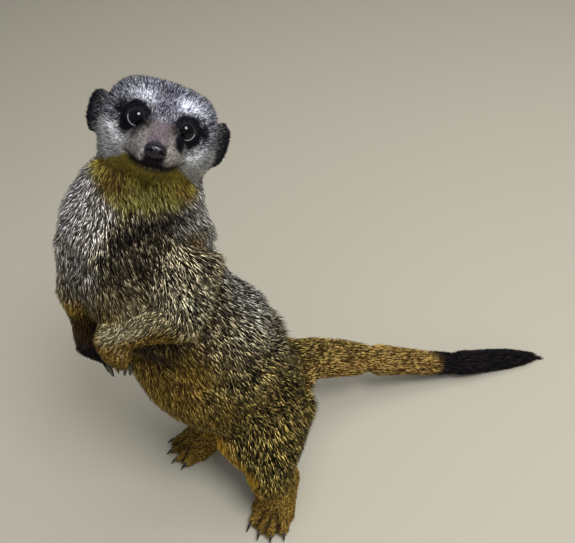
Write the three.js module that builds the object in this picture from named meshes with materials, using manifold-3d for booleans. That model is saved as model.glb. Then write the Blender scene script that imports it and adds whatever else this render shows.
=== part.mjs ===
// A life-size meerkat (Suricata suricatta) standing upright on its hind feet, looking up over its left
// shoulder, with its tail laid on the floor behind it as a prop. Millimetres, +Z up. The animal's trunk
// faces -Y and its left side is +X. The origin is the middle of its footprint, on the floor.
//
// The whole body is one smooth distance field, made of tapered bones and egg shapes. Each named part is
// the share of that field which lies nearest to its own shapes, so the parts meet along thin cuts.
import * as THREE from "three";
import { mergeVertices } from "three/addons/utils/BufferGeometryUtils.js";
import Module from "manifold-3d";

const wasm = await Module();
wasm.setup();

// ---------------------------------------------------------------- driving dimensions
const CUT_GAP = 0.8; // clear space between two parts of flesh
const FIT_GAP = 0.35; // least space between any two pieces
const SIDES = { left: 1, right: -1 };
const TOES = 4;

const PELVIS = at(2, 14, 72);
const CROTCH = at(4, 16, 52);
const WAIST = at(0, 5, 122);
const CHEST = at(-15, -20, 178);
const NECK_BASE = at(-20, -24, 208);
const NAPE = at(-20, 8, 243);
const HEAD = at(-18, 9.5, 258.5);
const PELVIS_YAW = 4; // degrees, positive turns the part to the animal's left
const CHEST_YAW = 28;
const HEAD_TURN = { yaw: 63, pitch: 31.5, roll: 29 };

// Places on the head: out to the side, ahead and up from its middle. Eggs have three half axes.
const EYE = { radius: 5.6, out: 10.2, ahead: 16.3, up: 2.2, turn: 26, socket: [6.4, 5, 5.8], open: 5.2 };
const NOSE = { half: [4.5, 3.4, 3.4], ahead: 37.6, up: -9.3 };
const EAR = { half: [8.2, 3.6, 12.2], out: 27.8, ahead: -11, up: 0.4, sweep: 32 };
const SKULL = { half: [25, 26, 19.5], out: 0, ahead: -3, up: 2 };
const TEMPLE = { half: [9.5, 14, 10], out: 14, ahead: -2, up: 8.5 };
const CHEEK = { half: [12, 15, 13], out: 14.5, ahead: 1, up: -7 };
const BROW = { half: [7, 6, 5], out: 11, ahead: 12, up: 8.5 };
const BRIDGE = { from: [0, 10, 4], to: [0, 35, -7.8], radius: [9.5, 4.7] };
const JAW = { from: [0, 8, -13.5], to: [0, 29, -16.5], radius: [9, 3.8] };
const WHISKER_BED = { from: [8, 14, -8], to: [3.6, 31.5, -11.5], radius: [8.5, 4.8] };

const GIRTH = { crotch: 20, loin: 34, waist: 36, ribs: 33.5, shoulders: 27, throat: 26, nape: 20 }; // radii
const PAUNCH = { half: [34, 36, 35.5], out: -1, ahead: 7.5, up: -12.5, pitch: 6 }; // from the waist
const MIDRIFF = { from: [-10, -13.5, 126], to: [-13, -16.5, 148], radius: 29 }; // loose belly fur under the arms
const RIB_CAGE = { half: [34, 31, 34], behind: 2, up: 6 }; // from the chest
// Thick fur down both sides of the neck, from behind the ears to the shoulders.
const MANE = [
  { from: [-26, -11, 248.5], to: [-31, -22.5, 224], radius: [11, 16.5] },
  { from: [-14, 6, 236], to: [-4, -2.5, 205], radius: [10.5, 16] },
];
const TAIL = { root: 16.5, slim: 9, slimAt: 0.6, tip: 1.3, cuts: [0.36, 0.66], links: [8, 5, 7] };

const HIP = { out: 21, behind: 4, up: -4 }; // from the pelvis
const SHOULDER = { out: 25, behind: 2, up: 25 }; // from the chest
const HAUNCH = { from: [-9, -23, 3], to: [2, -26, -18], radius: [15, 12] }; // from the hip, outward on the left
const LEG_GIRTH = { hip: 27.5, knee: [16, 14.5], ankle: 9.5, instep: 7.5 };
const ARM_GIRTH = { shoulder: 17, elbow: [12, 11.5], wrist: 6.5, palm: 6 };
const HEEL = { radius: 6.4, behind: 4 };
const FOOT = { length: 22, fanWidth: 17, spread: 26, droop: -3, toeLength: 14, knuckle: 4.2, toeTip: 3.4 };
const HAND = { length: 10, fanWidth: 8.5, spread: 12, droop: -8, toeLength: 8, knuckle: 3.6, toeTip: 2.9 };
const FORE_CLAW = { length: 8, radius: 1.7, curl: 0.28, sink: 2 };
const HIND_CLAW = { length: 6, radius: 1.4, curl: 0.22, sink: 2 };
const PRESS = 0.5; // depth by which the soles press into the floor, to rest on flats

const LEGS = {
  left: { ankle: at(37, 7, 14), knee: at(44.5, -5, 47), yaw: 30 },
  right: { ankle: at(-25, 4, 14), knee: at(-31, -5, 50), yaw: -14 },
};
const ARMS = {
  left: { elbow: at(21, -23, 187), wrist: at(-1, -52, 175.5), yaw: 20, pitch: -76, roll: 0 },
  right: { elbow: at(-44, -44, 178), wrist: at(-37, -53, 147), yaw: 105, pitch: -52, roll: 75 },
};

// ---------------------------------------------------------------- vectors and frames
function at(x, y, z) {
  return new THREE.Vector3(x, y, z);
}

/** Turned frame at a point. Unturned, x is the animal's left, -y is ahead and z is up. */
function frame(origin, { yaw = 0, pitch = 0, roll = 0 } = {}) {
  const [ya, pi, ro] = [yaw, -pitch, roll].map(THREE.MathUtils.degToRad);
  return new THREE.Matrix4().makeRotationFromEuler(new THREE.Euler(pi, ro, ya, "ZXY")).setPosition(origin);
}

const clamp = THREE.MathUtils.clamp;

// ---------------------------------------------------------------- distance shapes
// A shape has a distance, the box that it fills, and a claim: a distance whose ends are cut off flat, which
// settles how far the shape's part reaches along a limb.
function ball(centre, radius) {
  return new THREE.Box3(centre.clone(), centre.clone()).expandByScalar(radius);
}

/** Tapered bone with round ends, from a to b. A free start keeps its round end in the claim. */
function bone(a, b, radiusA, radiusB, freeStart = false) {
  const length = a.distanceTo(b);
  const d = b.clone().sub(a).divideScalar(length);
  const measure = (x, y, z) => {
    const [px, py, pz] = [x - a.x, y - a.y, z - a.z];
    const along = px * d.x + py * d.y + pz * d.z;
    const inside = clamp(along, 0, length);
    const away = (reached) => Math.hypot(px - reached * d.x, py - reached * d.y, pz - reached * d.z);
    return { along, away, inside, radius: radiusA + (inside / length) * (radiusB - radiusA) };
  };
  return {
    box: ball(a, radiusA).union(ball(b, radiusB)),
    distance: (x, y, z) => {
      const { away, inside, radius } = measure(x, y, z);
      return away(inside) - radius;
    },
    claim: (x, y, z) => {
      const { along, away, inside, radius } = measure(x, y, z);
      if (freeStart && along < length) return away(inside) - radius;
      return Math.max(away(along) - radius, -along, along - length);
    },
  };
}

/** Chain of bones along a curve, with a radius for each share of its length from one end to the other. */
function boneChain(curve, radius, from, to, links) {
  const made = [];
  for (let i = 0; i < links; i++) {
    const [s, e] = [from + ((to - from) * i) / links, from + ((to - from) * (i + 1)) / links];
    made.push(bone(curve.getPointAt(s), curve.getPointAt(e), radius(s), radius(e)));
  }
  return {
    box: made.reduce((all, link) => all.union(link.box), new THREE.Box3()),
    distance: (x, y, z) => least(made, "distance", x, y, z),
    claim: (x, y, z) => least(made, "claim", x, y, z),
  };
}

/** Least of one measure over several shapes. */
function least(among, measure, x, y, z) {
  return among.reduce((d, one) => Math.min(d, one[measure](x, y, z)), Infinity);
}

/** Egg with three half axes, in a turned frame. */
function egg(turned, half, centre = at(0, 0, 0)) {
  const placed = turned.clone().multiply(new THREE.Matrix4().setPosition(centre));
  const m = placed.clone().invert().elements;
  const distance = (x, y, z) => {
    const a = m[0] * x + m[4] * y + m[8] * z + m[12];
    const b = m[1] * x + m[5] * y + m[9] * z + m[13];
    const c = m[2] * x + m[6] * y + m[10] * z + m[14];
    const near = Math.sqrt((a / half[0]) ** 2 + (b / half[1]) ** 2 + (c / half[2]) ** 2);
    const slope = Math.sqrt((a / half[0] ** 2) ** 2 + (b / half[1] ** 2) ** 2 + (c / half[2] ** 2) ** 2);
    return slope < 1e-9 ? -Math.min(...half) : (near * (near - 1)) / slope;
  };
  const box = new THREE.Box3(at(...half).negate(), at(...half)).applyMatrix4(placed);
  return { box, distance, claim: distance };
}

/** Smooth join of two distances, rounded over a width. */
function blend(a, b, width) {
  const h = Math.max(width - Math.abs(a - b), 0) / width;
  return Math.min(a, b) - (h * h * width) / 4;
}

// ---------------------------------------------------------------- the body's shapes
const shapes = []; // every shape, with the name of its part
const joins = []; // { width, members }: shapes that flow into each other

/** Adds shapes to a part and returns them, to be joined with others. */
function add(part, ...made) {
  for (const shape of made) shape.part = part;
  shapes.push(...made);
  return made;
}

function join(width, ...members) {
  joins.push({ width, members: members.flat() });
}

const headFrame = frame(HEAD, HEAD_TURN);
const inHead = (out, ahead, up) => at(out, -ahead, up).applyMatrix4(headFrame);
const chestFrame = frame(CHEST, { yaw: CHEST_YAW });
const pelvisFrame = frame(PELVIS, { yaw: PELVIS_YAW });

function buildTrunk() {
  const belly = add(
    "belly",
    bone(PELVIS, WAIST, GIRTH.loin, GIRTH.waist),
    bone(CROTCH, PELVIS, GIRTH.crotch, GIRTH.loin, true),
    egg(frame(WAIST, PAUNCH), PAUNCH.half, at(PAUNCH.out, -PAUNCH.ahead, PAUNCH.up)),
    bone(at(...MIDRIFF.from), at(...MIDRIFF.to), MIDRIFF.radius, MIDRIFF.radius),
  );
  const chest = add(
    "chest",
    bone(WAIST, NECK_BASE, GIRTH.ribs, GIRTH.shoulders),
    egg(chestFrame, RIB_CAGE.half, at(0, RIB_CAGE.behind, RIB_CAGE.up)),
  );
  const sides = MANE.map(({ from, to, radius }) => bone(at(...from), at(...to), ...radius));
  const neck = add("neck", bone(NECK_BASE, NAPE, GIRTH.throat, GIRTH.nape), ...sides);
  return { belly, chest, neck };
}

function buildHead() {
  const headEgg = ({ half, out, ahead, up }, side = 1) => egg(headFrame, half, at(side * out, -ahead, up));
  const headBone = ({ from, to, radius }, side = 1) => {
    const [start, end] = [from, to].map(([out, ahead, up]) => inHead(side * out, ahead, up));
    return bone(start, end, ...radius);
  };
  const pairs = Object.values(SIDES).flatMap((side) => [
    headEgg(TEMPLE, side),
    headEgg(CHEEK, side),
    headEgg(BROW, side),
    headBone(WHISKER_BED, side),
  ]);
  return add("head", headEgg(SKULL), headBone(BRIDGE), headBone(JAW), ...pairs);
}

/** Eye socket: a shallow hollow that leaves the front of the eyeball clear. */
function socket(side) {
  const looking = frame(at(side * EYE.out, -EYE.ahead, EYE.up), { yaw: side * EYE.turn });
  return egg(headFrame.clone().multiply(looking), EYE.socket, at(0, -EYE.open, 0));
}

function buildEar(name, side) {
  const turned = headFrame
    .clone()
    .multiply(frame(at(side * EAR.out, -EAR.ahead, EAR.up), { yaw: side * -EAR.sweep }));
  return add("ear_" + name, egg(turned, EAR.half));
}

const tailCurve = new THREE.CatmullRomCurve3([
  at(4, 38, 72),
  at(10, 66, 60.5),
  at(23, 102, 38.5),
  at(45, 137, 21.5),
  at(62, 161, 13),
  at(78, 186, 7.9),
  at(94, 209, 4.4),
  at(103, 222, 1.6),
]);
/** Radius of the tail at a share of its length: it thins from the root, stays even, and closes to a point. */
function tailRadius(s) {
  if (s < TAIL.slimAt) return TAIL.slim + (TAIL.root - TAIL.slim) * (1 - s / TAIL.slimAt) ** 1.2;
  return TAIL.slim - (TAIL.slim - TAIL.tip) * ((s - TAIL.slimAt) / (1 - TAIL.slimAt)) ** 3.4;
}

function buildTail() {
  const ends = [0, ...TAIL.cuts, 1];
  return ["tail_base", "tail_middle", "tail_tip"].map((name, i) =>
    add(name, boneChain(tailCurve, tailRadius, ends[i], ends[i + 1], TAIL.links[i])),
  );
}

/**
 * Toes fan out from the front of a paw, the outer ones set back and shorter. Returns the knuckle, the tip,
 * the frame in which the toe points ahead, and the toe's shape.
 */
function fan(part, root, turn, { length, fanWidth, spread, droop, toeLength, knuckle: radius, toeTip }) {
  const turned = frame(root, turn);
  return Array.from({ length: TOES }, (_, i) => {
    const share = i / (TOES - 1) - 0.5;
    const setBack = (Math.abs(share) * fanWidth) / 3;
    const place = at(share * fanWidth, setBack - length, 0);
    const ahead = turned.clone().multiply(frame(place, { yaw: share * spread, pitch: droop }));
    const knuckle = place.clone().applyMatrix4(turned);
    const tip = at(0, -toeLength * (1 - 0.5 * share * share), 0).applyMatrix4(ahead);
    return { knuckle, tip, ahead, shape: add(part, bone(knuckle, tip, radius, toeTip)) };
  });
}

function buildLeg(name, side) {
  const { ankle, knee, yaw } = LEGS[name];
  const { knuckle } = FOOT;
  const hip = at(side * HIP.out, HIP.behind, HIP.up).applyMatrix4(pelvisFrame);
  const [high, low] = [HAUNCH.from, HAUNCH.to].map(([out, y, z]) => at(side * out, y, z).add(hip));
  const thigh = add(
    "thigh_" + name,
    bone(hip, knee, LEG_GIRTH.hip, LEG_GIRTH.knee[0]),
    bone(high, low, ...HAUNCH.radius),
  );
  const shank = add("shank_" + name, bone(knee, ankle, LEG_GIRTH.knee[1], LEG_GIRTH.ankle));
  const sole = at(ankle.x, ankle.y, knuckle - PRESS);
  const heel = at(0, HEEL.behind, HEEL.radius - knuckle).applyMatrix4(frame(sole, { yaw }));
  const toes = fan("foot_" + name, sole, { yaw }, FOOT);
  const foot = add(
    "foot_" + name,
    bone(ankle, heel, LEG_GIRTH.ankle, HEEL.radius),
    ...toes.map((toe) => bone(heel, toe.knuckle, HEEL.radius, knuckle)),
    ...toes.map((toe) => bone(ankle, toe.knuckle, LEG_GIRTH.instep, knuckle)),
  );
  return { thigh, shank, paw: foot, toes };
}

function buildArm(name, side) {
  const { elbow, wrist, ...turn } = ARMS[name];
  const shoulder = at(side * SHOULDER.out, SHOULDER.behind, SHOULDER.up).applyMatrix4(chestFrame);
  const upper = add("upper_arm_" + name, bone(shoulder, elbow, ARM_GIRTH.shoulder, ARM_GIRTH.elbow[0]));
  const fore = add("forearm_" + name, bone(elbow, wrist, ARM_GIRTH.elbow[1], ARM_GIRTH.wrist));
  const toes = fan("hand_" + name, wrist, turn, HAND);
  const palm = toes.map((toe) => bone(wrist, toe.knuckle, ARM_GIRTH.palm, HAND.knuckle));
  const hand = add("hand_" + name, ...palm);
  return { upper, fore, paw: hand, toes };
}

const hollows = Object.values(SIDES).map(socket);
const trunk = buildTrunk();
const head = buildHead();
const tail = buildTail();
const legs = {};
const arms = {};
for (const [name, side] of Object.entries(SIDES)) {
  join(3, head[0], buildEar(name, side));
  legs[name] = buildLeg(name, side);
  arms[name] = buildArm(name, side);
}
join(14, trunk.belly, trunk.chest, trunk.neck, legs.left.thigh, legs.right.thigh, tail[0]);
join(13, trunk.chest, trunk.neck, arms.left.upper, arms.right.upper);
join(7, head);
join(16, trunk.neck, trunk.chest, head[0]);
join(0.5, ...tail);
for (const { thigh, shank, paw } of Object.values(legs)) join(8, thigh, shank, paw);
for (const { upper, fore, paw } of Object.values(arms)) join(6, upper, fore, paw);
for (const { paw, toes } of [...Object.values(legs), ...Object.values(arms)]) {
  for (const toe of toes) join(2.5, paw, toe.shape);
}

/** Distance to the whole animal's outline, with its eye sockets open. */
function bodyDistance(x, y, z) {
  let outline = Infinity;
  for (const { width, members } of joins) {
    let d = Infinity;
    for (const member of members) {
      const next = member.distance(x, y, z);
      d = d === Infinity ? next : blend(d, next, width);
    }
    outline = Math.min(outline, d);
  }
  for (const hollow of hollows) outline = -blend(-outline, hollow.distance(x, y, z), 2);
  return outline;
}

/** Distance to one part: inside the body, and claimed more by the part's own shapes than by any other's. */
function partDistance(part) {
  const own = shapes.filter((shape) => shape.part === part);
  const others = shapes.filter((shape) => shape.part !== part);
  return (x, y, z) => {
    const share = (least(own, "claim", x, y, z) - least(others, "claim", x, y, z) + CUT_GAP) / 2;
    return Math.max(bodyDistance(x, y, z), share);
  };
}

/** Box that holds a part's own shapes, with room for the grid and for smooth joins. */
function boxOf(part, step) {
  const box = new THREE.Box3();
  for (const shape of shapes) if (shape.part === part) box.union(shape.box);
  return box.expandByScalar(2 * step + 4);
}

// ---------------------------------------------------------------- surface of a distance field
/** How far back the four cubes round a grid edge lie, in order, for an edge along each axis. */
const CUBES_ROUND_EDGE = [
  [[0, 1, 1], [0, 0, 1], [0, 0, 0], [0, 1, 0]],
  [[1, 0, 1], [1, 0, 0], [0, 0, 0], [0, 0, 1]],
  [[1, 1, 0], [0, 1, 0], [0, 0, 0], [1, 0, 0]],
];

/**
 * Clears a grid of faces whose four corners lie inside and outside in turn, where two sheets of the surface
 * would share an edge. The corner nearest to the surface changes sides.
 */
function clearCrossedFaces(values, strides, least) {
  const [dx, dy, dz] = strides;
  const faces = [[dx, dy], [dy, dz], [dz, dx]];
  let crossed = true;
  while (crossed) {
    crossed = false;
    for (let c = 0; c < values.length - dx - dy - dz; c++)
      for (const [du, dv] of faces) {
        const corners = [c, c + du, c + du + dv, c + dv];
        const inside = corners.map((n) => values[n] < 0);
        if (inside[0] !== inside[2] || inside[1] !== inside[3] || inside[0] === inside[1]) continue;
        const nearest = corners.reduce((a, b) => (Math.abs(values[a]) < Math.abs(values[b]) ? a : b));
        values[nearest] = values[nearest] < 0 ? least : -least;
        crossed = true;
      }
  }
}

/** Closed mesh of the zero surface inside a box, on a grid of cubes with one vertex to a cube. */
function skinOf(distance, box, step) {
  const low = box.min;
  const count = box.getSize(at(0, 0, 0)).divideScalar(step).ceil().addScalar(1).toArray();
  const [nx, ny, nz] = count;
  const corner = (i, j, k) => (k * ny + j) * nx + i;
  const values = new Float64Array(nx * ny * nz);
  for (let k = 0; k < nz; k++)
    for (let j = 0; j < ny; j++)
      for (let i = 0; i < nx; i++)
        values[corner(i, j, k)] = distance(low.x + i * step, low.y + j * step, low.z + k * step);
  clearCrossedFaces(values, [1, nx, nx * ny], step * 0.1);

  const vertexOf = new Map();
  const points = [];
  const cubeVertex = (i, j, k) => {
    const key = corner(i, j, k);
    if (!vertexOf.has(key)) {
      vertexOf.set(key, points.length);
      points.push(settle(cubeMiddle(i, j, k)));
    }
    return vertexOf.get(key);
  };
  /** Mean of the places where the surface crosses a cube's edges. */
  const cubeMiddle = (i, j, k) => {
    const sum = at(0, 0, 0);
    let crossings = 0;
    for (let a = 0; a < 8; a++)
      for (const bit of [1, 2, 4]) {
        if (a & bit) continue;
        const [p, q] = [a, a | bit].map((c) => [i + (c & 1), j + ((c >> 1) & 1), k + (c >> 2)]);
        const [vp, vq] = [values[corner(...p)], values[corner(...q)]];
        if (vp < 0 === vq < 0) continue;
        const t = vp / (vp - vq);
        sum.add(at(...p.map((n, axis) => n + t * (q[axis] - n))));
        crossings++;
      }
    return sum.divideScalar(crossings).multiplyScalar(step).add(low);
  };
  /** Moves a point onto the surface, by at most half a step. */
  const settle = (point) => {
    const moved = point.clone();
    const e = step * 0.05;
    for (let n = 0; n < 4; n++) {
      const { x, y, z } = moved;
      const gradient = at(
        distance(x + e, y, z) - distance(x - e, y, z),
        distance(x, y + e, z) - distance(x, y - e, z),
        distance(x, y, z + e) - distance(x, y, z - e),
      ).divideScalar(2 * e);
      const slope = Math.max(gradient.lengthSq(), 0.25);
      moved.addScaledVector(gradient, -distance(x, y, z) / slope);
    }
    const shift = moved.sub(point).clampLength(0, step * 0.5);
    return point.add(shift);
  };

  const triangles = [];
  const quad = (a, b, c, d, flip) => {
    const [p, q] = [points[a].distanceTo(points[c]), points[b].distanceTo(points[d])];
    const pair = p < q ? [[a, b, c], [a, c, d]] : [[a, b, d], [b, c, d]];
    for (const t of pair) triangles.push(...(flip ? t.reverse() : t));
  };
  for (let k = 1; k < nz - 1; k++)
    for (let j = 1; j < ny - 1; j++)
      for (let i = 1; i < nx - 1; i++) {
        const inside = values[corner(i, j, k)] < 0;
        for (const [axis, cubes] of CUBES_ROUND_EDGE.entries()) {
          const next = corner(i + (axis === 0), j + (axis === 1), k + (axis === 2));
          if (inside === values[next] < 0) continue;
          quad(...cubes.map(([di, dj, dk]) => cubeVertex(i - di, j - dj, k - dk)), !inside);
        }
      }
  const geometry = new THREE.BufferGeometry().setFromPoints(points);
  return geometry.setIndex(triangles);
}

// ---------------------------------------------------------------- solids
/** Geometry of a three.js class, with one vertex wherever its faces meet. */
function merged(geometry) {
  const bare = geometry.clone();
  for (const name of ["normal", "uv"]) bare.deleteAttribute(name);
  return mergeVertices(bare, 1e-4);
}

/** Closed geometry with shared vertices, as a solid that can be cut and joined. */
function solid(geometry) {
  return new wasm.Manifold(
    new wasm.Mesh({
      numProp: 3,
      vertProperties: new Float32Array(geometry.attributes.position.array),
      triVerts: new Uint32Array(geometry.index.array),
    }),
  );
}

function geometryOf(made) {
  const mesh = made.getMesh();
  return new THREE.BufferGeometry()
    .setAttribute("position", new THREE.BufferAttribute(mesh.vertProperties, 3))
    .setIndex(new THREE.BufferAttribute(mesh.triVerts, 1));
}

/** The same surface moved outwards, to cut a neighbour with room to spare. */
function grown(geometry, distance) {
  const moved = geometry.clone();
  moved.computeVertexNormals();
  const place = moved.attributes.position;
  const normal = moved.attributes.normal;
  for (let i = 0; i < place.count; i++) {
    const out = at(0, 0, 0).fromBufferAttribute(normal, i).multiplyScalar(distance);
    place.setXYZ(i, place.getX(i) + out.x, place.getY(i) + out.y, place.getZ(i) + out.z);
  }
  return moved;
}

const floor = solid(merged(new THREE.BoxGeometry(600, 700, 40).translate(0, 0, -20)));

/** Eyeball, grown by a clearance where it cuts its socket. */
function eyeball(side, grow = 0) {
  const centre = inHead(side * EYE.out, EYE.ahead, EYE.up);
  return new THREE.IcosahedronGeometry(EYE.radius + grow, 1).translate(...centre);
}

function nosePad(grow = 0) {
  return new THREE.IcosahedronGeometry(1, 1)
    .scale(...NOSE.half.map((n) => n + grow))
    .translate(0, -NOSE.ahead, NOSE.up)
    .applyMatrix4(headFrame);
}

/** Claw: a cone that starts inside the tip of a toe, points ahead and curls down. */
function claw(toe, { length, radius, curl, sink }, grow = 0) {
  const full = length + sink + grow;
  const cone = new THREE.ConeGeometry(radius + grow, full, 5, 2).translate(0, full / 2 - sink - grow, 0);
  const place = cone.attributes.position;
  for (let i = 0; i < place.count; i++) {
    const along = Math.max(place.getY(i), 0) / length;
    place.setZ(i, place.getZ(i) - curl * length * along * along);
  }
  cone.rotateZ(Math.PI);
  return cone.applyMatrix4(toe.ahead.clone().setPosition(toe.tip));
}

// ---------------------------------------------------------------- parts as meshes
const FUR = { head: 0x8d8577, body: 0x85765c, tail: 0xa07840, dark: 0x241d18, paw: 0xa98352 };
const PARTS = {
  belly: { step: 11.5, colour: FUR.body },
  chest: { step: 11.4, colour: FUR.body },
  neck: { step: 9.5, colour: FUR.body },
  head: { step: 6.15, colour: FUR.head },
  tail_base: { step: 8.6, colour: FUR.tail },
  tail_middle: { step: 7, colour: FUR.tail },
  tail_tip: { step: 5.8, colour: FUR.dark },
};
for (const name of Object.keys(SIDES)) {
  Object.assign(PARTS, {
    ["ear_" + name]: { step: 3.5, colour: FUR.dark },
    ["upper_arm_" + name]: { step: 7, colour: FUR.body },
    ["forearm_" + name]: { step: 5.8, colour: FUR.body },
    ["hand_" + name]: { step: 3.6, colour: FUR.dark },
    ["thigh_" + name]: { step: 9.4, colour: FUR.body },
    ["shank_" + name]: { step: 6.8, colour: FUR.paw },
    ["foot_" + name]: { step: 4.35, colour: FUR.paw },
  });
}

const meerkat = new THREE.Group();

function addMesh(name, geometry, colour, roughness = 0.85) {
  const material = new THREE.MeshStandardMaterial({ color: colour, roughness, metalness: 0 });
  const mesh = new THREE.Mesh(geometry, material);
  mesh.name = name;
  meerkat.add(mesh);
}

const cutters = { head: [solid(merged(nosePad(FIT_GAP)))] };
for (const [name, side] of Object.entries(SIDES)) {
  cutters.head.push(solid(merged(eyeball(side, FIT_GAP))));
  addMesh("eye_" + name, eyeball(side), 0x140d09, 0.1);
  for (const [paw, toes, form] of [
    ["hand_", arms[name].toes, FORE_CLAW],
    ["foot_", legs[name].toes, HIND_CLAW],
  ]) {
    cutters[paw + name] = toes.map((toe) => solid(merged(claw(toe, form, FIT_GAP))));
    toes.forEach((toe, i) => addMesh(`claw_${paw}${name}_${i + 1}`, claw(toe, form), 0x2b221b, 0.45));
  }
}
addMesh("nose", nosePad(), 0x1c1614, 0.4);

const neighbours = []; // finished parts of flesh, grown by the least space between pieces
for (const [name, { step, colour }] of Object.entries(PARTS)) {
  let made = solid(skinOf(partDistance(name), boxOf(name, step), step)).subtract(floor);
  for (const cutter of neighbours.concat(cutters[name] ?? [])) made = made.subtract(cutter);
  const largest = made.decompose().reduce((a, b) => (a.volume() > b.volume() ? a : b));
  const geometry = geometryOf(largest);
  neighbours.push(solid(grown(geometry, FIT_GAP)));
  addMesh(name, geometry, colour);
}

// The origin is the middle of the footprint, on the floor.
const bounds = new THREE.Box3().setFromObject(meerkat);
const middle = bounds.getCenter(at(0, 0, 0));
meerkat.position.set(-middle.x, -middle.y, -bounds.min.z);

export default meerkat;
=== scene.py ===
"""A life-size standing meerkat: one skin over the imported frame, a coat of tufts, eyes, nose pad and claws."""

import sys

import logging
import math
from collections.abc import Callable
from dataclasses import dataclass, field
from enum import Enum

import bmesh
import bpy
import numpy as np
from mathutils import Matrix, Vector, noise
from mathutils.bvhtree import BVHTree


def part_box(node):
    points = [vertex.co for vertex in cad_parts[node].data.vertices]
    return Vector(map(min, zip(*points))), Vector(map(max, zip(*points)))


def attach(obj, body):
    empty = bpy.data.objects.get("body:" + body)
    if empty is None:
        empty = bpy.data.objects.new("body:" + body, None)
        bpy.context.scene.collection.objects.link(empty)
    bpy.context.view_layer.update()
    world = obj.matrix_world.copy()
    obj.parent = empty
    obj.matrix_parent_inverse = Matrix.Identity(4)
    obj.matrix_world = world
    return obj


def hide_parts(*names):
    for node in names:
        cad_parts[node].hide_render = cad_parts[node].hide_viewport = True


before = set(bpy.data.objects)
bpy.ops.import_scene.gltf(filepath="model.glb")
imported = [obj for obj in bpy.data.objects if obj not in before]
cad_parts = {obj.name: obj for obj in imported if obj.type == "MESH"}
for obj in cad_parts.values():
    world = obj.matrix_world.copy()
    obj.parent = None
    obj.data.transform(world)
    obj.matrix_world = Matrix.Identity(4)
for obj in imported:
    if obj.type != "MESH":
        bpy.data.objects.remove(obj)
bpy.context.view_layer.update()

MM = 0.001
SEED = 7
SIDES = {"left": 1, "right": -1}
BODY = "root"
Triple = tuple[float, float, float]
Colour = tuple[float, float, float, float]
log = logging.getLogger("meerkat")


# ---------------------------------------------------------------- small helpers
def smoothstep(value: np.ndarray, low: float, high: float) -> np.ndarray:
    """0 below low, 1 above high and an even curve between. Low may be above high."""
    t = np.clip((value - low) / (high - low), 0.0, 1.0)
    return t * t * (3.0 - 2.0 * t)


def linear(rgb: Triple) -> np.ndarray:
    """Linear colour of a paint colour that is given in 0 to 255."""
    c = np.array(rgb, float) / 255.0
    return np.where(c <= 0.04045, c / 12.92, ((c + 0.055) / 1.055) ** 2.4)


def unit(rows: np.ndarray) -> np.ndarray:
    """Rows scaled to length 1."""
    return rows / np.maximum(np.linalg.norm(rows, axis=-1, keepdims=True), 1e-12)


def coordinates(mesh: bpy.types.Mesh) -> np.ndarray:
    """Vertex places of a mesh, one row each."""
    co = np.empty(len(mesh.vertices) * 3, np.float32)
    mesh.vertices.foreach_get("co", co)
    return co.reshape(-1, 3).astype(float)


def place(mesh: bpy.types.Mesh, co: np.ndarray) -> None:
    """Writes vertex places back to a mesh."""
    mesh.vertices.foreach_set("co", co.astype(np.float32).ravel())
    mesh.update()


def normals_of(mesh: bpy.types.Mesh) -> np.ndarray:
    """Vertex normals of a mesh, one row each."""
    rows = np.empty(len(mesh.vertices) * 3, np.float32)
    mesh.vertex_normals.foreach_get("vector", rows)
    return rows.reshape(-1, 3).astype(float)


def away_from(co: np.ndarray, spot: np.ndarray) -> np.ndarray:
    """How far in mm each place lies from one spot."""
    return np.linalg.norm(co - spot, axis=1) / MM


def to_mesh(made: bmesh.types.BMesh, name: str) -> bpy.types.Mesh:
    """New mesh of what was made, which is freed."""
    mesh = bpy.data.meshes.new(name)
    made.to_mesh(mesh)
    made.free()
    return mesh


def node_centre(name: str) -> np.ndarray:
    """Middle of a CAD node's box."""
    low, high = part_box(name)
    return np.array((low + high) / 2)


def link(name: str, mesh: bpy.types.Mesh) -> bpy.types.Object:
    """New object with that mesh, in the scene."""
    made = bpy.data.objects.new(name, mesh)
    bpy.context.scene.collection.objects.link(made)
    return made


def evaluated(obj: bpy.types.Object) -> bpy.types.Mesh:
    """Plain mesh of an object with its modifiers applied."""
    bpy.context.view_layer.update()
    graph = bpy.context.evaluated_depsgraph_get()
    return bpy.data.meshes.new_from_object(obj.evaluated_get(graph))


def set_attribute(mesh: bpy.types.Mesh, name: str, values: np.ndarray) -> None:
    """Stores one value per vertex: a number, a vector or a colour by the row's length."""
    kinds = {1: ("FLOAT", "value"), 3: ("FLOAT_VECTOR", "vector"), 4: ("FLOAT_COLOR", "color")}
    width = 1 if values.ndim == 1 else values.shape[1]
    kind, slot = kinds[width]
    made = mesh.attributes.new(name, kind, "POINT")
    made.data.foreach_set(slot, values.astype(np.float32).ravel())


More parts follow.
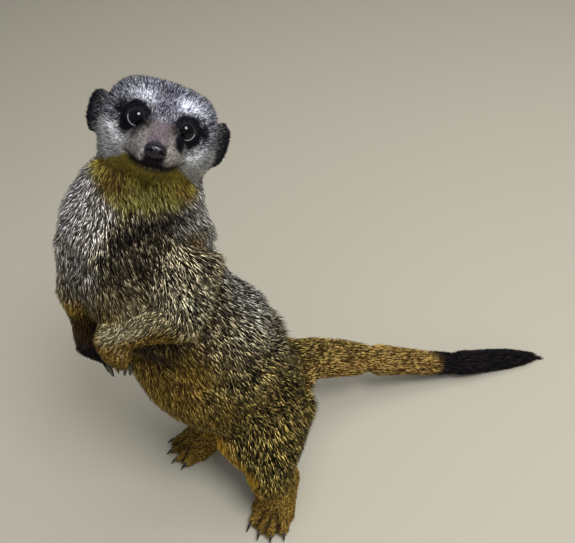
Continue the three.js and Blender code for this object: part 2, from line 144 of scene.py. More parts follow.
class Net:
    """Neighbours of each vertex of a mesh, for smoothing what is stored per vertex."""

    def __init__(self, mesh: bpy.types.Mesh) -> None:
        """Reads the mesh's edges."""
        ends = np.empty(len(mesh.edges) * 2, np.int64)
        mesh.edges.foreach_get("vertices", ends)
        pairs = ends.reshape(-1, 2)
        both = np.concatenate([pairs, pairs[:, ::-1]])
        both = both[np.argsort(both[:, 0], kind="stable")]
        self.next = both[:, 1]
        self.count = np.bincount(both[:, 0], minlength=len(mesh.vertices))
        self.start = np.concatenate([[0], np.cumsum(self.count)[:-1]])

    def average(self, values: np.ndarray) -> np.ndarray:
        """Mean of each vertex's neighbours."""
        sums = np.add.reduceat(values[self.next], self.start, axis=0)
        count = self.count if values.ndim == 1 else self.count[:, None]
        return sums / count

    def smooth(self, values: np.ndarray, rounds: int, strength: np.ndarray | float = 0.5) -> np.ndarray:
        """Values drawn towards their neighbours' mean.

        Args:
            values: one number or row per vertex.
            rounds: how often it is done.
            strength: share of the way each time, for all or per vertex.

        Returns:
            The smoothed values.
        """
        if isinstance(strength, np.ndarray) and values.ndim > 1:
            strength = strength[:, None]
        for _ in range(rounds):
            values = values + strength * (self.average(values) - values)
        return values


class Wiring:
    """Short calls that make nodes and links in one tree."""

    def __init__(self, tree: bpy.types.NodeTree) -> None:
        """Keeps the tree."""
        self.tree = tree

    def node(self, kind: str, inputs: dict | None = None, **settings: object) -> bpy.types.Node:
        """Adds a node.

        Args:
            kind: the node's type.
            inputs: what goes into each socket, by name or number: another socket or a value.
            settings: the node's own choices.

        Returns:
            The node.
        """
        made = self.tree.nodes.new(kind)
        for name, value in settings.items():
            setattr(made, name, value)
        for key, value in (inputs or {}).items():
            self.feed(made.inputs[key] if isinstance(key, int) else self.open(made.inputs, key), value)
        return made

    def feed(self, socket: bpy.types.NodeSocket, value: object) -> None:
        """Links another socket to this one, or gives it a value."""
        if isinstance(value, bpy.types.NodeSocket):
            self.tree.links.new(value, socket)
        else:
            socket.default_value = value

    def attribute(self, name: str, output: str = "Fac") -> bpy.types.NodeSocket:
        """What a surface stores under a name."""
        return self.node("ShaderNodeAttribute", attribute_name=name).outputs[output]

    @staticmethod
    def open(sockets: bpy.types.bpy_prop_collection, name: str) -> bpy.types.NodeSocket:
        """The socket in use among those of one name."""
        return next(s for s in sockets if s.name == name and s.enabled)

    def out(self, node: bpy.types.Node, name: str) -> bpy.types.NodeSocket:
        """The output in use of one name."""
        return self.open(node.outputs, name)

    def math(self, operation: str, *values: object) -> bpy.types.NodeSocket:
        """One step of arithmetic."""
        return self.node("ShaderNodeMath", dict(enumerate(values)), operation=operation).outputs[0]

    def vector(self, operation: str, *values: object) -> bpy.types.NodeSocket:
        """One step of vector arithmetic."""
        made = self.node("ShaderNodeVectorMath", dict(enumerate(values)), operation=operation)
        return made.outputs[1 if operation in ("DOT_PRODUCT", "LENGTH") else 0]

    def scaled(self, vector: bpy.types.NodeSocket, by: object) -> bpy.types.NodeSocket:
        """A vector times a number."""
        made = self.node("ShaderNodeVectorMath", {0: vector}, operation="SCALE")
        self.feed(made.inputs["Scale"], by)
        return made.outputs[0]

    def ramp(
        self, value: object, low: float, high: float, to: tuple[float, float] = (0.0, 1.0)
    ) -> bpy.types.NodeSocket:
        """An even curve from one value to the other as the input goes from low to high."""
        made = self.node(
            "ShaderNodeMapRange",
            {"Value": value, "From Min": low, "From Max": high, "To Min": to[0], "To Max": to[1]},
            interpolation_type="SMOOTHSTEP",
        )
        return made.outputs[0]

    def mix(self, share: object, a: object, b: object) -> bpy.types.NodeSocket:
        """Two colours mixed."""
        made = self.node("ShaderNodeMix", data_type="RGBA")
        for number, value in ((0, share), (6, a), (7, b)):
            self.feed(made.inputs[number], value)
        return made.outputs[2]


# ---------------------------------------------------------------- finishes
@dataclass(frozen=True)
class Shade:
    """Colours of one part of the coat, 0 to 255, and the share of its hairs that are all dark."""

    base: tuple[int, int, int]
    pale: tuple[int, int, int]
    dark: tuple[int, int, int]
    share: float

    def rows(self) -> list[np.ndarray]:
        """Linear colours and the share, as the mixer takes them."""
        return [linear(self.base), linear(self.pale), linear(self.dark), np.array([self.share])]


class Coat(Enum):
    """Every shade that the coat has."""

    FLANK = Shade((32, 24, 12), (252, 236, 194), (4, 3, 4), 0.52)
    BACK = Shade((42, 34, 23), (255, 252, 236), (5, 4, 4), 0.44)
    HAUNCH = Shade((19, 14, 5), (228, 200, 114), (3, 3, 3), 0.66)
    BELLY = Shade((82, 60, 19), (176, 146, 70), (14, 8, 4), 0.38)
    BIB = Shade((12, 8, 8), (84, 73, 58), (3, 2, 5), 0.72)
    BREAST = Shade((46, 38, 22), (170, 158, 124), (6, 4, 5), 0.54)
    THROAT = Shade((112, 104, 44), (156, 150, 92), (40, 31, 12), 0.26)
    RUFF = Shade((128, 124, 110), (226, 224, 222), (24, 21, 18), 0.34)
    CROWN = Shade((46, 47, 66), (226, 229, 242), (6, 5, 12), 0.5)
    BROW = Shade((178, 181, 200), (255, 255, 255), (44, 42, 60), 0.2)
    FOREHEAD = Shade((36, 32, 42), (140, 140, 158), (8, 7, 12), 0.5)
    CHEEK = Shade((196, 196, 199), (255, 255, 255), (26, 23, 23), 0.2)
    BRIDGE = Shade((96, 86, 91), (128, 116, 120), (70, 62, 66), 0.3)
    SNOUT = Shade((150, 141, 134), (210, 206, 204), (58, 52, 50), 0.24)
    MASK = Shade((8, 8, 15), (26, 26, 40), (2, 2, 5), 0.4)
    # Brighter mustard under the mouth: painted light that lifts the shade on the chin.
    CHIN = Shade((156, 138, 54), (198, 182, 98), (66, 52, 20), 0.18)
    RIM = Shade((74, 66, 50), (116, 106, 88), (30, 26, 20), 0.3)
    SHOULDER = Shade((72, 68, 64), (228, 224, 226), (14, 12, 13), 0.36)
    LIP = Shade((24, 17, 22), (48, 38, 36), (10, 7, 11), 0.5)
    CREAM = Shade((120, 108, 72), (226, 214, 178), (26, 20, 10), 0.34)
    GOLD = Shade((98, 70, 20), (204, 168, 80), (10, 6, 4), 0.42)
    AMBER = Shade((152, 108, 26), (210, 172, 56), (30, 16, 6), 0.22)
    TAIL = Shade((92, 63, 23), (220, 184, 106), (16, 10, 4), 0.4)
    # Near-black fur of the back's bars, the tail's tip and the right hand; also laid as painted shadow under
    # the left forearm and painted shade in the grooves between toes and fingers.
    SOOT = Shade((11, 9, 12), (48, 42, 43), (2, 2, 4), 0.52)
    RUST = Shade((72, 52, 16), (112, 86, 38), (34, 20, 9), 0.34)


@dataclass(frozen=True)
class Pelt:
    """Hair of one part of the body, in mm. Rise is how high its tips stand, depth how deep the skin lies
    under the CAD surface, and thick the tufts to the square mm."""

    length: float
    half_width: float
    rise: float
    depth: float
    thick: float


PELTS = {
    "head": Pelt(3.5, 0.25, 1.4, 1.0, 3.3),
    "ear": Pelt(1.5, 0.17, 0.4, 0.4, 4.5),
    "neck": Pelt(6.6, 0.3, 2.4, 1.8, 1.7),
    "chest": Pelt(7.8, 0.31, 2.7, 2.2, 1.4),
    "belly": Pelt(7.8, 0.31, 2.7, 2.2, 1.4),
    "upper_arm": Pelt(7.0, 0.3, 2.4, 1.6, 1.6),
    "forearm": Pelt(4.6, 0.26, 1.4, 1.1, 2.1),
    "hand": Pelt(2.2, 0.19, 0.6, 0.4, 4.0),
    "thigh": Pelt(7.6, 0.31, 2.6, 2.2, 1.4),
    "shank": Pelt(5.2, 0.28, 1.8, 1.5, 1.8),
    "foot": Pelt(2.6, 0.2, 0.7, 0.4, 3.6),
    "tail_base": Pelt(7.4, 0.3, 2.2, 1.6, 1.6),
    "tail_middle": Pelt(7.0, 0.28, 1.8, 1.2, 2.0),
    "tail_tip": Pelt(6.4, 0.26, 1.5, 1.0, 2.6),
}

# By how many mm a node is grown before the skin is laid over it, to close the cuts next to it.
SWELL = {"tail": 1.7, "chest": 1.2, "belly": 1.2, "neck": 1.2, "upper_arm": 1.0, "thigh": 1.2, "shank": 0.8}
OTHER_SWELL = 0.6


def by_part(table: dict[str, object], node: str, otherwise: object = None) -> object:
    """What a table says of a CAD node, by the first key that its name starts with."""
    return next((value for key, value in table.items() if node.startswith(key)), otherwise)


def swell_of(node: str) -> float:
    """How much a CAD node is grown."""
    return by_part(SWELL, node, OTHER_SWELL)


def pelt_of(node: str) -> Pelt:
    """The hair on a CAD node."""
    return by_part(PELTS, node)


# ---------------------------------------------------------------- anatomy
@dataclass
class HeadFrame:
    """Directions of the head. Places in it are out to the animal's left, ahead and up, in mm."""

    eye_ahead: float = 16.3
    eye_up: float = 2.2
    nose_ahead: float = 37.6
    nose_up: float = -9.3
    axes: np.ndarray = field(init=False)
    origin: np.ndarray = field(init=False)

    def __post_init__(self) -> None:
        """Finds the axes from the boxes of the eyes and the nose."""
        left, right, nose = (node_centre(n) for n in ("eye_left", "eye_right", "nose"))
        out = unit(left - right)
        middle = (left + right) / 2
        slope = nose - middle
        slope = unit(slope - out * (slope @ out))
        over = np.cross(slope, out)
        a = math.atan2(self.eye_up - self.nose_up, self.nose_ahead - self.eye_ahead)
        ahead = math.cos(a) * slope + math.sin(a) * over
        up = math.cos(a) * over - math.sin(a) * slope
        self.axes = np.stack([out, ahead, up])
        self.origin = middle - (ahead * self.eye_ahead + up * self.eye_up) * MM

    def local(self, co: np.ndarray) -> np.ndarray:
        """Places in the head's own frame."""
        return (co - self.origin) @ self.axes.T / MM

    def world(self, local: np.ndarray) -> np.ndarray:
        """Places in the shared frame."""
        return np.asarray(local, float) @ self.axes * MM + self.origin

    def turned(self, direction: np.ndarray) -> np.ndarray:
        """A direction in the shared frame."""
        return np.asarray(direction, float) @ self.axes


@dataclass
class EyeSet:
    """How the eyeballs look and how the lids open round them, in millimetres and degrees."""

    radius: float = 5.6
    turn: float = 12.0
    lift: float = -8.0
    lid: float = 0.5
    opening: float = 3.75
    inner_corner: tuple[float, float] = (221.0, 1.0)
    outer_corner: tuple[float, float] = (28.0, 0.5)

    def axis(self, side: int) -> np.ndarray:
        """Where the eye looks, in the head's frame."""
        t, e = math.radians(self.turn), math.radians(self.lift)
        return np.array([side * math.sin(t) * math.cos(e), math.cos(t) * math.cos(e), math.sin(e)])

    def margin(self, angle: np.ndarray) -> np.ndarray:
        """How far the lid's edge lies from the eye's axis, by the angle round it: 0 is outward, 90 up."""
        edge = np.full_like(angle, self.opening)
        for where, extra in (self.inner_corner, self.outer_corner):
            edge = edge + extra * np.maximum(np.cos(angle - math.radians(where)), 0.0) ** 6
        return edge - 0.3 * np.maximum(np.sin(angle), 0.0) ** 2

    def around(self, co: np.ndarray, centre: np.ndarray, head: HeadFrame, side: int) -> dict[str, np.ndarray]:
        """Where vertices lie round one eye.

        Args:
            co: vertex places.
            centre: middle of the eyeball.
            head: the head's frame.
            side: 1 for the left eye, -1 for the right one.

        Returns:
            The axes, the distance from the middle, the angle round the axis, the distance from
            the axis along the ball's cap, and how far outside the lid's edge that is.
        """
        axis = head.turned(self.axis(side))
        out = head.turned([side, 0, 0])
        out = unit(out - axis * (out @ axis))
        up = unit(np.cross(axis, out) * side)
        up = up if up @ head.axes[2] > 0 else -up
        rel = (co - centre) / MM
        reach = np.linalg.norm(rel, axis=1)
        facing = rel @ axis
        x, y = rel @ out, rel @ up
        angle = np.arctan2(y, x)
        away = np.where(facing > 0, np.hypot(x, y) / np.maximum(reach, 1e-9) * self.radius, 99.0)
        return {
            "axis": axis, "out": out, "up": up, "rel": rel, "reach": reach, "facing": facing,
            "angle": angle, "away": away, "past": away - self.margin(angle),
        }


class Flow:
    """Which way the hair lies on each part: from one place on the body to the next."""

    FROM_TO = {
        "neck": ("head", "chest"),
        "chest": ("neck", "belly"),
        "belly": ("chest", "hips"),
        "upper_arm": ("neck", "belly"),
        "forearm": ("upper_arm", "hand"),
        "hand": ("forearm", "fingers"),
        "thigh": ("thigh", "shank"),
        "shank": ("thigh", "foot"),
        "foot": ("foot", "toes"),
        "tail_base": ("belly_low", "tail_middle"),
        "tail_middle": ("tail_base", "tail_tip"),
        "tail_tip": ("tail_middle", "tail_end"),
    }
    REARWARD = {"thigh": 0.45, "chest": 0.2, "belly": 0.25, "upper_arm": 0.2, "neck": 0.1}

    def __init__(self) -> None:
        """Finds the body's landmarks."""
        self.tail_end = self.farthest("tail_tip", node_centre("tail_base"))

    @staticmethod
    def farthest(node: str, start: np.ndarray) -> np.ndarray:
        """The node's vertex farthest from a place."""
        co = coordinates(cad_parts[node].data)
        return co[np.argmax(np.linalg.norm(co - start, axis=1))]

    def landmark(self, name: str, side: str) -> np.ndarray:
        """Middle of a node or of a group of nodes."""
        if name == "hips":
            return (node_centre("thigh_left") + node_centre("thigh_right")) / 2 - np.array([0, 0, 0.03])
        if name == "belly_low":
            return node_centre("tail_base") * 0.6 + node_centre("belly") * 0.4
        if name == "tail_end":
            return self.tail_end
        if name in ("fingers", "toes"):
            limb = {"fingers": "hand", "toes": "foot"}[name]
            return np.mean([node_centre(f"claw_{limb}_{side}_{i}") for i in range(1, 5)], axis=0)
        return node_centre(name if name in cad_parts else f"{name}_{side}")

    def direction(self, node: str) -> np.ndarray | None:
        """The way the hair lies on a node, or None where it isn't one direction."""
        ends = by_part(self.FROM_TO, node)
        if ends is None:
            return None
        side = "right" if node.endswith("right") else "left"
        start, end = (self.landmark(n, side) for n in ends)
        return unit(unit(end - start) + np.array([0, by_part(self.REARWARD, node, 0.0), 0]))


# ---------------------------------------------------------------- skin
@dataclass
class Skin:
    """One closed skin for all nodes of flesh, with lids, lips and ear hollows. Lengths in mm."""

    voxel: float = 1.5
    fillings: int = 300
    eyes: EyeSet = field(default_factory=EyeSet)
    head: HeadFrame = field(default_factory=HeadFrame)
    flow: Flow = field(default_factory=Flow)
    nose_half: Triple = (4.5, 3.4, 3.4)
    floor_gap: float = 0.2

    SMOOTHINGS = 24
    ROUNDS_TO_NORMALS = 8
    # Each paw with how far its grooves run back from the claws, and how wide they are.
    TOES = (("foot", 17.0, 1.0), ("hand", 11.0, 0.8))
    TOE_GROOVE = 1.5
    FAN_WIDTH = 4.5
    EAR_SWEEP = math.radians(32)
    EAR_HOLLOW = 2.0
    # How strongly a part is smoothed, and how fast creases on it grow shut. Other parts take 0.5 and 0.
    SOFTNESS = {"head": 0.2, "ear": 0.03, "hand": 0.05, "foot": 0.04, "tail_tip": 0.3, "forearm": 0.3}
    FILLING = {
        "chest": 1.0, "belly": 1.0, "neck": 1.0, "upper_arm": 1.0, "thigh": 0.8, "shank": 0.35,
        "tail": 1.0, "forearm": 0.12,
    }

    def flesh(self) -> list[str]:
        """Names of the CAD nodes that the skin stands for."""
        hard = ("eye_", "claw_", "nose")
        return sorted(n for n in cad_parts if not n.startswith(hard))

    def block(self) -> bpy.types.Mesh:
        """Voxel mesh round every node, each grown a little so that the cuts between them close."""
        made = bmesh.new()
        for name in sorted(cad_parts):
            if name.startswith("claw_"):
                continue
            part = bmesh.new()
            part.from_mesh(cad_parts[name].data)
            bmesh.ops.remove_doubles(part, verts=part.verts, dist=0.01 * MM)
            part.normal_update()
            for v in part.verts:
                v.co += v.normal * swell_of(name) * MM
            piece = to_mesh(part, name + "_grown")
            made.from_mesh(piece)
            bpy.data.meshes.remove(piece)
        joined = to_mesh(made, "block")
        holder = link("block", joined)
        closing = holder.modifiers.new("close", "REMESH")
        closing.mode, closing.voxel_size = "VOXEL", self.voxel * MM
        mesh = evaluated(holder)
        bpy.data.objects.remove(holder)
        bpy.data.meshes.remove(joined)
        return mesh

    def labels(self, co: np.ndarray) -> np.ndarray:
        """Number of the nearest node of flesh for each place, in the order of flesh()."""
        verts, faces, owner = [], [], []
        for number, name in enumerate(self.flesh()):
            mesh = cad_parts[name].data
            start = len(verts)
            verts += [v.co.copy() for v in mesh.vertices]
            faces += [[start + i for i in p.vertices] for p in mesh.polygons]
            owner += [number] * len(mesh.polygons)
        tree = BVHTree.FromPolygons(verts, faces)
        return np.array([owner[tree.find_nearest(Vector(p))[2]] for p in co])

    def per_node(self, labels: np.ndarray, value: Callable[[str], float]) -> np.ndarray:
        """Value of each vertex's node."""
        return np.array([value(n) for n in self.flesh()], float)[labels]

    def even_out(self, mesh: bpy.types.Mesh) -> None:
        """Smooths the facets away and draws the skin in by the coat's depth."""
        net, co = Net(mesh), coordinates(mesh)
        labels = self.labels(co)
        strength = self.per_node(labels, lambda n: by_part(self.SOFTNESS, n, 0.5))
        strength = net.smooth(strength, 6)
        flat = co[:, 2] < 0.6 * MM
        co = net.smooth(co, self.SMOOTHINGS, strength)
        co = self.fill(mesh, net, co, labels)
        place(mesh, co)
        normals = unit(net.smooth(normals_of(mesh), 3))
        depth = self.per_node(labels, lambda n: pelt_of(n).depth)
        local = self.head.local(co)
        on_head = labels == self.flesh().index("head")
        muzzle = smoothstep(local[:, 1], 4, 26) * on_head
        crown = smoothstep(local[:, 2], 4, 14) * on_head
        depth = depth * (1 - 0.6 * muzzle) * (1 - 0.4 * crown)
        swell = net.smooth(self.per_node(labels, swell_of), 5)
        depth = net.smooth(depth, 12)
        depth = np.minimum(depth, 0.25 + 0.07 * away_from(co, self.flow.tail_end))
        co = co - normals * ((depth + swell) * MM)[:, None]
        co = net.smooth(co, 2, strength)
        co[flat, 2] = self.floor_gap * MM
        co[:, 2] = np.maximum(co[:, 2], self.floor_gap * MM)
        place(mesh, co)

    def fill(self, mesh: bpy.types.Mesh, net: Net, co: np.ndarray, labels: np.ndarray) -> np.ndarray:
        """Lets the creases between limbs, neck, tail and trunk grow shut, by moves outward only.

        Args:
            mesh: the skin so far, whose places are overwritten.
            net: its neighbours.
            co: its vertex places.
            labels: number of each vertex's node.

        Returns:
            The new places.
        """
        share = self.per_node(labels, lambda n: by_part(self.FILLING, n, 0.0))
        local = self.head.local(co)
        nape = smoothstep(local[:, 1], 10, 0) * smoothstep(local[:, 2], 4, -6)
        nape = nape * (labels == self.flesh().index("head"))
        for side in SIDES:
            elbow = away_from(co, node_centre(f"upper_arm_{side}"))
            share = np.maximum(share, smoothstep(elbow, 40, 30) * (local[:, 2] < -30))
        share = net.smooth(np.maximum(share, nape), 8)
        for turn in range(self.fillings):
            if turn % self.ROUNDS_TO_NORMALS == 0:
                place(mesh, co)
                rows = normals_of(mesh)
            out = ((net.average(co) - co) * rows).sum(1) - 0.005 * MM
            co = co + rows * (np.maximum(out, 0) * share * 0.9)[:, None]
        return co

    def refine(self, mesh: bpy.types.Mesh) -> None:
        """Splits the faces of the head and toes, then those round the eyes, nose and mouth again."""
        eyes = [node_centre(f"eye_{side}") for side in SIDES]
        for level in range(2):
            made = bmesh.new()
            made.from_mesh(mesh)
            co = np.array([v.co for v in made.verts])
            local = self.head.local(co)
            side, ahead, up = np.abs(local[:, 0]), local[:, 1], local[:, 2]
            near_eye = np.min([away_from(co, e) for e in eyes], axis=0)
            if level == 0:
                inside = (ahead > -2) & (side < 27) & (ahead < 60) & (np.abs(up) < 26)
                inside |= self.toe_grooves(co)[0] > 0.02
            else:
                mouth = (ahead > 18) & (up < -5) & (up > -20)
                inside = (near_eye < 9.5) | mouth & (side < 16)
            edges = [e for e in made.edges if inside[e.verts[0].index] and inside[e.verts[1].index]]
            bmesh.ops.subdivide_edges(made, edges=edges, cuts=1, use_grid_fill=True)
            bmesh.ops.triangulate(made, faces=[f for f in made.faces if len(f.verts) > 4])
            made.to_mesh(mesh)
            made.free()
            net, co = Net(mesh), coordinates(mesh)
            local = self.head.local(co)
            near = smoothstep(local[:, 1], -4, 4) * (np.abs(local[:, 0]) < 30) * (np.abs(local[:, 2]) < 30)
            near = near * (local[:, 1] < 60)
            place(mesh, net.smooth(co, 3, 0.5 * near))

    def toe_grooves(self, co: np.ndarray) -> tuple[np.ndarray, np.ndarray]:
        """How near each place lies to the groove between two toes or fingers.

        Args:
            co: vertex places.

        Returns:
            A wide weight over the whole fan of toes, and a narrow one in the grooves.
        """
        fan, groove = np.zeros(len(co)), np.zeros(len(co))
        for limb, back, width in self.TOES:
            for side in SIDES:
                palm = node_centre(f"{limb}_{side}")
                tips = [node_centre(f"claw_{limb}_{side}_{i}") for i in range(1, 5)]
                for a, b in zip(tips, tips[1:]):
                    tip = (a + b) / 2
                    lead = unit(tip - palm)
                    beside = unit((b - a) - lead * ((b - a) @ lead))
                    rel = (co - tip) / MM
                    run, off = rel @ lead, rel @ beside
                    lift = np.abs(rel @ np.cross(lead, beside))
                    along = smoothstep(run, -back, -back * 0.55) * smoothstep(run, 6, 2) * (lift < 12)
                    groove = np.maximum(groove, along * np.exp(-((off / width) ** 2)))
                    fan = np.maximum(fan, along * np.exp(-((off / self.FAN_WIDTH) ** 2)))
        return fan, groove

    def sculpt_toes(self, mesh: bpy.types.Mesh) -> None:
        """Deepens the grooves between toes and between fingers."""
        co = coordinates(mesh)
        groove = self.toe_grooves(co)[1]
        co = co - normals_of(mesh) * (groove * self.TOE_GROOVE * MM)[:, None]
        co[:, 2] = np.maximum(co[:, 2], self.floor_gap * MM)
        place(mesh, co)

    def sculpt_eyes(self, mesh: bpy.types.Mesh) -> None:
        """Lays the lids on the eyeballs and opens them to a slanted almond."""
        co = coordinates(mesh)
        eyes = self.eyes
        for name, side in SIDES.items():
            centre = node_centre(f"eye_{name}")
            lay = eyes.around(co, centre, self.head, side)
            axis, out, up, rel = lay["axis"], lay["out"], lay["up"], lay["rel"]
            reach, angle, away = lay["reach"], lay["angle"], lay["away"]
            near = (reach < 13) & (lay["facing"] > 0)
            edge = eyes.margin(angle)
            snap = near & (np.abs(away - edge) < 0.17)
            away = np.where(snap, edge, away)
            lid = eyes.radius + eyes.lid
            outer = smoothstep(away - edge, 0.3, 3.6)
            target = lid + (np.maximum(reach, lid) - lid) * outer
            crease = np.exp(-(((away - edge - 1.7) / 0.35) ** 2)) * np.maximum(np.sin(angle), 0)
            target = target - 0.22 * crease
            inside = smoothstep(away - edge, 0.12, -0.22)
            target = target + (eyes.radius - 0.8 - target) * inside
            share = np.clip(away / eyes.radius, 0, 0.999)
            across = (np.cos(angle)[:, None] * out + np.sin(angle)[:, None] * up) * share[:, None]
            direction = across + np.sqrt(1 - share**2)[:, None] * axis
            direction = np.where((snap & (away < eyes.radius * 0.98))[:, None], direction, unit(rel))
            moved = centre + direction * target[:, None] * MM
            weight = (near & (away < edge + 3.7))[:, None]
            co = np.where(weight, moved, co)
        place(mesh, co)

    def mouth_line(self, x: np.ndarray) -> np.ndarray:
        """How high the line between the lips runs, by the distance out from the middle."""
        return -16.2 + 0.02 * x**2

    def round_nose(self, co: np.ndarray) -> tuple[np.ndarray, np.ndarray]:
        """Places from the middle of the nose pad in the head's directions, and as shares of its size."""
        rel = (co - node_centre("nose")) @ self.head.axes.T / MM
        return rel, np.linalg.norm(rel / np.array(self.nose_half), axis=1)

    def sculpt_muzzle(self, mesh: bpy.types.Mesh) -> None:
        """Cuts the line of the mouth, rounds the lips and sinks the bed of the nose pad."""
        co = coordinates(mesh)
        local = self.head.local(co)
        x, ahead, up = local.T
        front = smoothstep(ahead, 14, 22) * (np.abs(x) < 18) * (ahead < 45)
        off = up - self.mouth_line(x)
        taper = smoothstep(np.abs(x), 15, 9) * front
        groove = np.exp(-((off / 0.6) ** 2)) * 1.5
        lips = np.exp(-(((np.abs(off) - 1.5) / 0.8) ** 2)) * 0.35
        middle = np.exp(-((x / 0.5) ** 2)) * (off > 0) * (off < 4.5) * 0.6 * smoothstep(ahead, 28, 33)
        co = co + normals_of(mesh) * ((lips - groove) * taper - middle)[:, None] * MM
        rel, q = self.round_nose(co)
        pull = smoothstep(q, 1.3, 1.02)
        factor = 1 + (0.82 / np.maximum(q, 0.2) - 1) * pull
        co = node_centre("nose") + ((rel * factor[:, None]) @ self.head.axes) * MM
        place(mesh, co)

    def sculpt_ears(self, mesh: bpy.types.Mesh) -> None:
        """Hollows the front of each ear, so that its rim stands up."""
        local = self.head.local(coordinates(mesh))
        cos, sin = math.cos(self.EAR_SWEEP), math.sin(self.EAR_SWEEP)
        for name, side in SIDES.items():
            ear = self.head.local(node_centre(f"ear_{name}")[None])[0]
            rel = local - ear
            ahead = rel[:, 1] * cos + side * rel[:, 0] * sin
            across = side * rel[:, 0] * cos - rel[:, 1] * sin
            q = np.hypot((across - 0.5) / 6.0, rel[:, 2] / 9.6)
            hollow = smoothstep(q, 1.0, 0.35) * smoothstep(ahead, 0.4, 1.6)
            hollow = hollow * (np.linalg.norm(rel, axis=1) < 15)
            push = np.stack([-side * sin * hollow, -cos * hollow, 0 * hollow], axis=1)
            local = local + push * self.EAR_HOLLOW
        place(mesh, self.head.world(local))

    def build(self) -> bpy.types.Object:
        """Makes the skin's mesh.

        Returns:
            The skin, without its markings.
        """
        mesh = self.block()
        self.even_out(mesh)
        self.refine(mesh)
        self.sculpt_muzzle(mesh)
        self.sculpt_eyes(mesh)
        self.sculpt_ears(mesh)
        self.sculpt_toes(mesh)
        mesh.shade_smooth()
        return link("skin", mesh)


